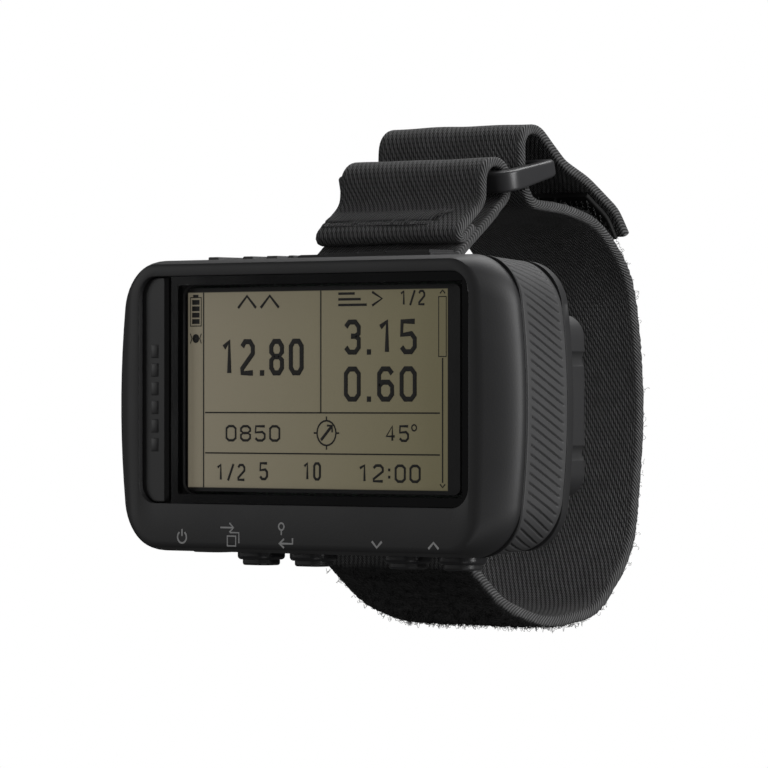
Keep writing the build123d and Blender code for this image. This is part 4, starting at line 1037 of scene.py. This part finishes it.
def side_route(corners, radii):
    """Stops along a side view's rounded route: (depth, height), the way on, and the distance."""
    points = [Vector(corners[0])]
    for before, corner, after, radius in zip(corners, corners[1:], corners[2:], radii):
        corner = Vector(corner)
        back, on = (Vector(before) - corner).normalized(), (Vector(after) - corner).normalized()
        half = back.angle(on) / 2
        centre = corner + (back + on).normalized() * radius / sin(half)
        spoke, last = corner + back * radius / tan(half) - centre, corner + on * radius / tan(half) - centre
        sweep = (atan2(last.y, last.x) - atan2(spoke.y, spoke.x) + pi) % (2 * pi) - pi
        parts = max(3, ceil(abs(sweep) * PARTS_PER_RADIAN))
        for part in range(parts + 1):
            turn = sweep * part / parts
            points.append(centre + Vector((spoke.x * cos(turn) - spoke.y * sin(turn),
                                           spoke.x * sin(turn) + spoke.y * cos(turn))))
    points.append(Vector(corners[-1]))
    gone = [0.0]
    for here, there in zip(points, points[1:]):
        gone.append(gone[-1] + (there - here).length)
    count = ceil(gone[-1] / STRAP_STEP)
    stops = []
    leg = 0
    for number in range(count + 1):
        goal = gone[-1] * number / count
        while leg < len(points) - 2 and gone[leg + 1] < goal:
            leg += 1
        share = (goal - gone[leg]) / max(gone[leg + 1] - gone[leg], 1e-9)
        stops.append((points[leg].lerp(points[leg + 1], share), goal))
    placed = [point for point, _ in stops]
    for _ in range(3):
        eased = [(a + 2 * b + c) / 4 for a, b, c in zip(placed, placed[1:], placed[2:])]
        placed = [placed[0], *eased, placed[-1]]
    ways = [(placed[min(k + 1, count)] - placed[max(k - 1, 0)]).normalized() for k in range(count + 1)]
    return [(point, way, goal) for point, way, (_, goal) in zip(placed, ways, stops)]


def ripple(a, distance, seed, size):
    """A slow unevenness of handled cloth, in millimetres."""
    return size * noise.noise(Vector((a * 0.11, distance * 0.10, seed)))


def strap(corners, radii, thick, width, seed, pile_from=None, uneven=0.22, long_from=0.0):
    """A strap along a side route. Its pile starts at a distance, on the side to the right of its way."""
    stops = side_route(corners, radii)
    section = outline(width, thick, thick * 0.42, corner=4, sides=(44, 2))

    def lay(row, point):
        where, way, gone = stops[row]
        a, b = point
        out = Vector((way.y, -way.x))
        lift = b + ripple(a, gone, seed, uneven)
        if pile_from is not None and b > 0.2 * thick and gone > pile_from:
            lift += 0.24 * noise.noise(Vector((a * 1.9, gone * 1.9, seed))) + 0.10
        spot = where + out * lift
        return place(a * (1 + 0.006 * noise.noise(Vector((0, gone * 0.15, seed)))), spot.x, spot.y)

    shell = skin([section] * len(stops), lay)
    station, row = shell.verts.layers.int["station"], shell.verts.layers.int["row"]
    piled = shell.verts.layers.float.new("pile")
    edged = shell.verts.layers.float.new("selvage")
    for vert in shell.verts:
        a, b = section[vert[station]]
        gone = stops[vert[row]][2]
        from_edge = width / 2 - abs(a)
        if pile_from is not None and b > 0.1 * thick:
            vert[piled] = clamp((gone - pile_from) / PILE_FADE) * clamp(from_edge / PILE_MARGIN)
        vert[edged] = clamp(1 - (from_edge - SELVAGE) / SELVAGE_FADE)
    chart = shell.loops.layers.uv.new("UVMap")
    for face in shell.faces:
        for loop in face.loops:
            a, b = section[loop.vert[station]]
            loop[chart].uv = ((a + b) * MM, (stops[loop.vert[row]][2] + long_from) * MM)
    return shell, stops


# %% [markdown]
# The strap is one length of cloth, seen here as three pieces. It starts as a folded hem in front of the
# ring, is tacked down, goes round the ring's front bar, down through the top slot, behind the battery
# cover, out of the lower slot, round the wrist, up through the ring and back over its rear bar, and ends
# as the loose tab.

# %% Strap pieces
STRAP_WIDTH, STRAP_THICK = 27.0, 1.5
FOLD_CLOTH, LOOP_CLOTH = 1.36, 1.42
fold_start = (28.4, 27.9)
hem_end = (19.5, 24.5)
fold_front, fold_back, fold_high, fold_low = 25.5, 31.3, 35.1, 29.2
HEM_GAP = 1.40
HEM_LENGTH = 3.6
hem_way = Vector((fold_front - hem_end[0], fold_low - hem_end[1])).normalized()
hem_down = Vector((hem_way.y, -hem_way.x))
hem_turn = Vector(hem_end) + hem_down * HEM_GAP
hem_inner = hem_turn + hem_way * HEM_LENGTH
fold_route = [tuple(hem_inner), tuple(hem_turn), hem_end, (fold_front, fold_low), (fold_front, fold_high),
              (fold_back, fold_high), (fold_back, 30.15), fold_start]
fold_radii = [0.72, 0.72, 2.6, 2.85, 2.85, 2.2]
shell, fold_stops = strap(fold_route, fold_radii, FOLD_CLOTH, STRAP_WIDTH, seed=3.0, uneven=0.16)
fold = dress(shell, "strap_fold_cloth", weave, "receiver", sharp=60.0)
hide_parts("strap_fold", "strap_hem")

bar_corner = (18.76, 19.72)
lift_corner = (18.6, 20.3)
band_route = [fold_start, lift_corner, bar_corner, (24.9, 12.4), (25.5, 0.0), (24.9, -12.4),
              (18.76, -19.72), (30.0, -28.5), (40.5, -31.9), (52.5, -30.6), (60.5, -21.5), (63.6, 0.0),
              (60.5, 19.5), (52.5, 26.9), (44.5, 28.7), (36.9, 29.3), (35.1, 31.6)]
band_radii = [0.8, 1.2, 3, 30, 3, 2.1, 16, 22, 10, 14, 60, 14, 12, 30, 1.6]
shell, band_stops = strap(band_route, band_radii, LOOP_CLOTH, STRAP_WIDTH, seed=7.0, pile_from=60.0,
                          long_from=40.0)
band = dress(shell, "strap_band_cloth", weave, None, sharp=60.0)
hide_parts("strap_band")
place(0, 36, 29.9)
place(0, 36, 31.6)
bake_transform(band)
print("strap length in mm:", round(fold_stops[-1][2] + band_stops[-1][2]))

tail_route = [(35.1, 31.6), (34.3, 33.6), (34.3, 40.1), (38.3, 40.3), (41.1, 37.8), (44.2, 35.4),
              (50.0, 33.2), (57.0, 28.8), (59.4, 25.4)]
tail_radii = [3, 2.6, 2.8, 6, 6, 12, 5]
shell, _ = strap(tail_route, tail_radii, LOOP_CLOTH, STRAP_WIDTH, seed=11.0, long_from=210.0)
tail = dress(shell, "strap_tail_cloth", weave, None, sharp=60.0)
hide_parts("strap_wrap", "strap_tab")
place(0, 39.4, 37)
place(0, 44.0, 37)
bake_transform(tail)

# %% [markdown]
# ## Thread, pile and hooks
# Three details tell this strap from a rubber band: the dense tack that holds the folded end, the
# brushed pile on the outside of the loop, and the hooks under the tab. Each is made of real strands.
# One strand is a thin tube. The pile is too dense to draw hair by hair, so a few small patches of it
# are made once, and copies of them are laid along the strap, turned so that no row repeats.


# %% Strand helpers
def tube(points, radius, sides=5):
    """A bmesh tube through points in metres, closed at its ends."""
    ring = [2 * pi * k / sides for k in range(sides)]

    def lay(row, angle):
        way = (points[min(row + 1, len(points) - 1)] - points[max(row - 1, 0)]).normalized()
        aside = way.orthogonal().normalized()
        return points[row] + (aside * cos(angle) + way.cross(aside) * sin(angle)) * radius

    return skin([ring] * len(points), lay)


def take_in(target, source):
    """Adds a bmesh to another and frees it."""
    mesh = mesh_of(source, "part")
    target.from_mesh(mesh)
    bpy.data.meshes.remove(mesh)


def stop_at(stops, distance):
    """The stop nearest to a distance along a strap."""
    return min(stops, key=lambda stop: abs(stop[2] - distance))


def on_strap(stops, distance, a, lift):
    """A place on a strap's right-hand side: distance along, millimetres across, lift above its middle."""
    where, way, _ = stop_at(stops, distance)
    spot = where + Vector((way.y, -way.x)) * lift
    return place(a, spot.x, spot.y)


def thread_finish():
    """Bonded thread: dark, smoother than the cloth, with the twist of its plies, painted darker in the
    grooves between plies as shade and lighter on their crowns.
    """
    finish = Finish("tack_thread", Sheen_Weight=0.2)
    plies = finish.node("ShaderNodeTexWave", {"bands_direction": "DIAGONAL"},
                        {"Vector": finish.position(), "Scale": 2600.0, "Distortion": 0.6})
    # Painted shade: the ply pattern that makes the bump also darkens the grooves between the plies.
    finish.set("Base Color", finish.tint(plies, (0.005, 0.005, 0.005), (0.030, 0.030, 0.031)))
    finish.set("Roughness", 0.48 + 0.12 * plies)
    finish.relief(plies, 0.00003)
    return finish.material


thread = thread_finish()

# %% Tack across the folded end
random.seed(5)
TACK_LEFT, TACK_RIGHT = -12.8, 7.6
TACK_PITCH = 0.52
TACK_FROM = HEM_LENGTH + 2.4
TACK_LONG = 3.5
THREAD, LOOSE_THREAD = 0.00021, 0.00016
tack = bmesh.new()
for step in range(int((TACK_RIGHT - TACK_LEFT) / TACK_PITCH)):
    start = TACK_LEFT + step * TACK_PITCH + random.uniform(-0.04, 0.04)
    points = []
    for part in range(7):
        share = part / 6
        height = -(0.66 + 0.16 * sin(share * pi) + random.uniform(-0.01, 0.01))
        points.append(on_strap(fold_stops, TACK_FROM + TACK_LONG * share, start + 0.9 * share ** 2, height))
    take_in(tack, tube(points, THREAD, sides=6))
for turn in (0.0, 0.55):
    points = []
    for part in range(9):
        share = part / 8
        height = -(0.72 + 0.30 * sin(share * pi))
        across = TACK_RIGHT + 0.2 + turn + 1.3 * share ** 1.4
        points.append(on_strap(fold_stops, TACK_FROM + 0.9 + 2.3 * share, across, height))
    take_in(tack, tube(points, LOOSE_THREAD, sides=6))
dress(tack, "strap_tack", thread, "receiver", sharp=80.0)

# %% Pile on the outside of the loop
pile_black = ink_finish("pile_fibre", (0.0008, 0.0008, 0.0008), (0.0040, 0.0040, 0.0041), 0.85)
PATCH = 2.2
PATCHES_ACROSS = 12
HAIRS = 9
HAIR = 0.000034
PILE_FROM = 62.0
PILE_LIFT = 0.80


def hair_patch(seed):
    """A few curled fibres on a square patch, standing along +Z."""
    random.seed(seed)
    patch = bmesh.new()
    for _ in range(HAIRS):
        x, y = random.uniform(-0.6, 0.6) * PATCH, random.uniform(-0.6, 0.6) * PATCH
        way = random.uniform(0, 2 * pi)
        tall = random.choice((0.25, 0.3, 0.4, 0.5, 0.8)) * random.uniform(0.8, 1.2)
        reach = random.uniform(0.3, 0.9)
        points = []
        for part in range(5):
            share = part / 4
            bend = way + 1.3 * share
            points.append(Vector((x + reach * share * cos(bend), y + reach * share * sin(bend),
                                  tall * sin(share * pi * 0.9) - 0.05)) * MM)
        take_in(patch, tube(points, HAIR, sides=3))
    return patch


patches = [mesh_of(hair_patch(seed), "patch") for seed in range(5)]
random.seed(21)
pile = bmesh.new()
last = band_stops[-1][2] - 9.0
distance = PILE_FROM
while distance < last:
    _, way, _ = stop_at(band_stops, distance)
    turned = Vector((0, way.y, -way.x)).to_track_quat("Z", "X").to_matrix().to_4x4()
    for step in range(PATCHES_ACROSS):
        a = (step - (PATCHES_ACROSS - 1) / 2) * PATCH + random.uniform(-0.3, 0.3)
        spin = Matrix.Rotation(random.uniform(0, 2 * pi), 4, "Z")
        copy = random.choice(patches).copy()
        copy.transform(Matrix.Translation(on_strap(band_stops, distance, a, PILE_LIFT)) @ turned @ spin)
        pile.from_mesh(copy)
        bpy.data.meshes.remove(copy)
    distance += PATCH
dress(pile, "strap_pile", pile_black, "receiver", sharp=180.0)
print("pile fibres:", int((last - PILE_FROM) / PATCH + 1) * PATCHES_ACROSS * HAIRS)

# %% Hook tape under the tab
HOOK_THICK, HOOK_WIDTH = 1.2, 25.0
HOOK_PITCH = 0.95
HOOK_COLUMNS = 24
HOOK_STRAND = 0.00008
hook_shift = (STRAP_THICK + HOOK_THICK) / 2 + 0.06
first, knee, final = [Vector(point) for point in tail_route[-3:]]
entry, leave = (knee - first).normalized(), (final - knee).normalized()
entry_up, leave_up = Vector((-entry.y, entry.x)), Vector((-leave.y, leave.x))
hook_start = first + entry * 1.8 - entry_up * hook_shift
hook_knee = knee - (entry_up + leave_up).normalized() * hook_shift
hook_stop = knee + leave * 3.9 - leave_up * hook_shift
hook_route = [tuple(hook_start), tuple(hook_knee), tuple(hook_stop)]
shell, hook_stops = strap(hook_route, [4.0], HOOK_THICK * 0.6, HOOK_WIDTH, seed=17.0, uneven=0.05)
for row in range(1, int(hook_stops[-1][2] / HOOK_PITCH)):
    for column in range(HOOK_COLUMNS):
        a = column - (HOOK_COLUMNS - 1) / 2 + (row % 2) * 0.4
        base = on_strap(hook_stops, row * HOOK_PITCH, a, 0.30)
        tip = on_strap(hook_stops, row * HOOK_PITCH + 0.30, a, 0.66)
        over = on_strap(hook_stops, row * HOOK_PITCH + 0.62, a, 0.50)
        take_in(shell, tube([base, (base + tip) / 2 + (tip - base) * 0.05, tip, over], HOOK_STRAND, sides=4))
hook_black = ink_finish("hook_nylon", (0.002, 0.002, 0.002), (0.008, 0.008, 0.008), 0.5)
hooks = dress(shell, "hook_tape", hook_black, "loose_end", sharp=60.0)
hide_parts("hook_patch")

low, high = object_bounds()
